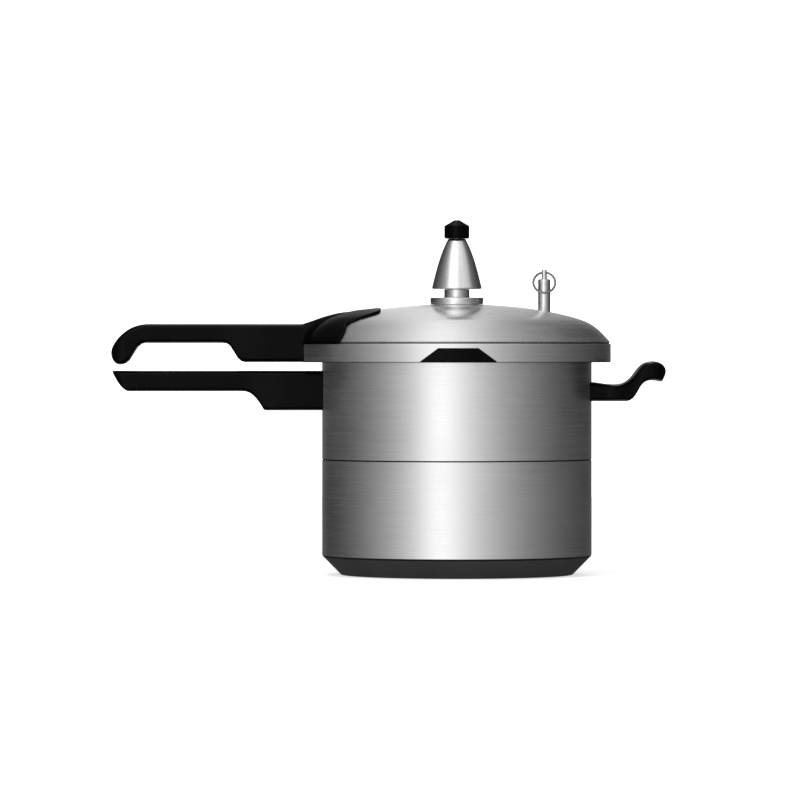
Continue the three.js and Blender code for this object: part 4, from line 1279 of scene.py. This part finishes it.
# %% The tree that winds a spring
def winding(graph, source):
    coil = graph.add("GeometryNodeCurveSpiral", {"Resolution": 32, "Rotations": source["Turns"],
                                                 "Start Radius": source["Radius"],
                                                 "End Radius": source["Radius"],
                                                 "Height": source["Height"]}).outputs[0]
    wire = graph.add("GeometryNodeCurvePrimitiveCircle", {"Resolution": 10,
                                                          "Radius": source["Wire"]}).outputs[0]
    return graph.add("GeometryNodeCurveToMesh", {"Curve": coil, "Profile Curve": wire,
                                                 "Fill Caps": True}).outputs[0]


spring_sizes = dict.fromkeys(("Turns", "Radius", "Height", "Wire"), "Float")
wound_spring = modifier_tree("wound_spring", spring_sizes, winding)
spring_low, spring_high = box_mm("valve_spring")


def valve_spring():
    wire = 0.4
    mesh = outward(grown(wound_spring, [], [], {
        "Turns": 6.0, "Radius": ((spring_high.x - spring_low.x) / 2 - wire) * MM,
        "Height": (spring_high.z - spring_low.z - 2 * wire) * MM, "Wire": wire * MM, "Finish": plain_steel}))
    mesh.transform(Matrix.Translation((valve_x * MM, 0, (spring_low.z + wire) * MM)))
    return mesh


spring = place("valve_spring", valve_spring(), plain_steel)
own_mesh(spring)


# %% [markdown]
# ## Pieces that stay as they are
# Brackets, some washers, the core of the base and the needle keep their CAD shape, because most of them
# are out of sight. They still get a finish of their own.

# %% Finishes for the carried-over pieces
core_metal = plain_metal("cast_core_metal", (0.60, 0.61, 0.62), 0.48)
carried = {"silicone": white_silicone, "core": core_metal, "plain_steel": plain_steel,
           "polished_steel": polished, "brushed_steel": pot_steel, "dark_base": base_steel,
           "black_phenolic": black_phenolic}
for node, slot in slot_of_node.items():
    materials = frame["nodes"][node].data.materials
    materials.clear()
    materials.append(carried[slot])
print("finishes given to", len(slot_of_node), "frame pieces")


# %% [markdown]
# ## Light
# A pot in a studio is lit by what it mirrors. Here the surroundings are one broad soft lamp a little to
# the left of the front, which reaches over the top of the pot and fades evenly to both sides, so the wall
# and the dome run alike from a bright middle to dark edges. The way to lay it out is to ask, for every
# direction, which normal would mirror it to the front, and how far to the side of the pot that normal is.

# %% How bright each part of the pot should be
def to_linear(level):
    v = max(level, 0.0) / 255
    return v / 12.92 if v <= 0.04045 else ((v + 0.055) / 1.055) ** 2.4


STEEL_SHARE = 0.78  # how much of the light the steel gives back
PEAK, EDGE = 252.0, 58.0
PEAK_AT = -13.8  # millimetres to the side of the axis
LEFT_SLOPE, RIGHT_SLOPE = 2.1, 1.6  # levels per millimetre


def level_at(x):
    """Brightness wanted at a distance across the pot, on the 0 to 255 scale."""
    slope = LEFT_SLOPE if x < PEAK_AT else RIGHT_SLOPE
    return max(PEAK - slope * abs(x - PEAK_AT), EDGE)


CONTRAST = [(0.04, 0.42), (0.1, 0.54), (0.25, 0.68), (0.42, 0.79), (0.66, 0.94), (0.9, 1.3), (0.98, 1.6)]


def lamp_strength(level):
    """The steel blurs what it mirrors, so the surroundings need more contrast than the result."""
    value = to_linear(level)
    return value * float(np.interp(value, *zip(*CONTRAST))) / STEEL_SHARE


# %% The studio's surroundings
BACK_GLOW, BELOW = 0.22, 0.012


def studio_world():
    world = bpy.data.worlds.new("studio")
    world.use_nodes = True
    world.node_tree.nodes.clear()
    graph = Graph(world.node_tree)
    direction = graph.add("ShaderNodeTexCoord").outputs["Generated"]
    nx, ny, nz = graph.split(graph.vector("SUBTRACT", direction, (0.0, 1.0, 0.0))[0])
    squares = [graph.math("MULTIPLY", part, part) for part in (nx, ny, nz)]
    lift = graph.math("MULTIPLY", squares[2], (DOME_RISE / ellipse_radius) ** 2)
    total = graph.math("ADD", graph.math("ADD", squares[0], squares[1]), lift)
    across = graph.math("DIVIDE", nx, graph.math("SQRT", graph.math("MAXIMUM", total, 1e-6)))
    ramp = graph.add("ShaderNodeValToRGB", {0: graph.math("ADD", graph.math("MULTIPLY", across, 0.5), 0.5)})
    for i, stop in enumerate(sorted([*np.linspace(-1, 1, 27), PEAK_AT / pot_radius])):
        place_on = 0.5 + 0.5 * stop
        element = ramp.color_ramp.elements[i] if i < 2 else ramp.color_ramp.elements.new(place_on)
        element.position = place_on
        element.color = (*[lamp_strength(level_at(pot_radius * stop))] * 3, 1.0)
    parts = graph.split(direction)
    back = graph.grey(graph.remap(parts[1], 0.84, 1.0, 0.0, BACK_GLOW))
    lit = graph.mix(1.0, ramp.outputs[0], back, "LIGHTEN")
    dimmed = graph.mix(graph.remap(parts[2], -0.8, -0.5, 0.05, 1.0), (BELOW,) * 3, lit)
    background = graph.add("ShaderNodeBackground", {"Color": dimmed, "Strength": 1.0})
    graph.add("ShaderNodeOutputWorld", {"Surface": background.outputs[0]})
    bpy.context.scene.world = world


studio_world()


# %% [markdown]
# ## Floor and backdrop
# The floor is a plain pale sheet and the backdrop a large pale drum. The lens sees them, but the metal
# doesn't mirror them, as when a real studio's white walls are kept out of a shiny pot.

# %% Floor and backdrop
PALE = 0.9


def pale(name, strength):
    def build(graph):
        level = graph.remap(graph.noise(graph.place(), 1.5), 0.3, 0.7, PALE - 0.01, PALE)
        return {"Base Color": graph.grey(level), "Roughness": 1.0, "Specular IOR Level": 0.0,
                "Emission Color": (1.0, 1.0, 1.0, 1.0), "Emission Strength": strength}, None
    return finish_material(name, build)


def staged(name, mesh, material):
    mesh.materials.append(material)
    obj = temporary(mesh, name)
    obj.visible_glossy = False
    obj.visible_shadow = False
    return obj


def disc(radius, height):
    mesh = bpy.data.meshes.new("disc")
    points = [(x, y, height) for x, y in circle(radius, 96)]
    mesh.from_pydata(points, [], [list(range(len(points)))])
    return mesh


def drum(radius, low, high):
    """A closed drum round the studio, seen from inside."""
    made = bmesh.new()
    bmesh.ops.create_cone(made, cap_ends=True, segments=96, radius1=radius, radius2=radius, depth=high - low)
    bmesh.ops.translate(made, verts=made.verts, vec=(0, 0, (low + high) / 2))
    mesh = bpy.data.meshes.new("drum")
    made.to_mesh(mesh)
    made.free()
    return mesh


staged("floor", disc(2.5, -0.0005), pale("pale_floor", 0.62))
backdrop = staged("backdrop", drum(7.0, -3.0, 7.0), pale("pale_backdrop", 1.0))
backdrop.visible_diffuse = False


# %% [markdown]
# ## Camera and lamps
# The view is from the front at the height of the rim, from far off with a long lens, so the circles of
# the pot look almost like straight lines. Two large soft lamps add a little light from above.

# %% The camera and two soft lamps
LENS = 253.6
EYE, TARGET = (-0.0464, -4.6, 0.18), (-0.0464, 0.0, 0.1424)
LAMP_TARGET = (0.0, 0.0, 0.15)


def aimed(name, data, location, target):
    """A camera or a lamp at a place, turned to face a target."""
    obj = temporary(data, name)
    obj.location = location
    obj.rotation_euler = (Vector(target) - Vector(location)).to_track_quat("-Z", "Y").to_euler()
    return obj


def soft_lamp(name, location, size, power):
    data = bpy.data.lights.new(name, "AREA")
    data.shape = "DISK"
    data.size = size
    data.energy = power
    aimed(name, data, location, LAMP_TARGET)


camera_data = bpy.data.cameras.new("camera")
camera_data.sensor_width = 36.0
camera_data.lens = LENS
bpy.context.scene.camera = aimed("camera", camera_data, EYE, TARGET)
soft_lamp("key_lamp", (-0.9, -1.8, 2.2), 2.4, 10.0)
soft_lamp("fill_lamp", (1.4, -1.2, 1.6), 2.0, 4.0)
bpy.context.scene.view_settings.view_transform = "Standard"
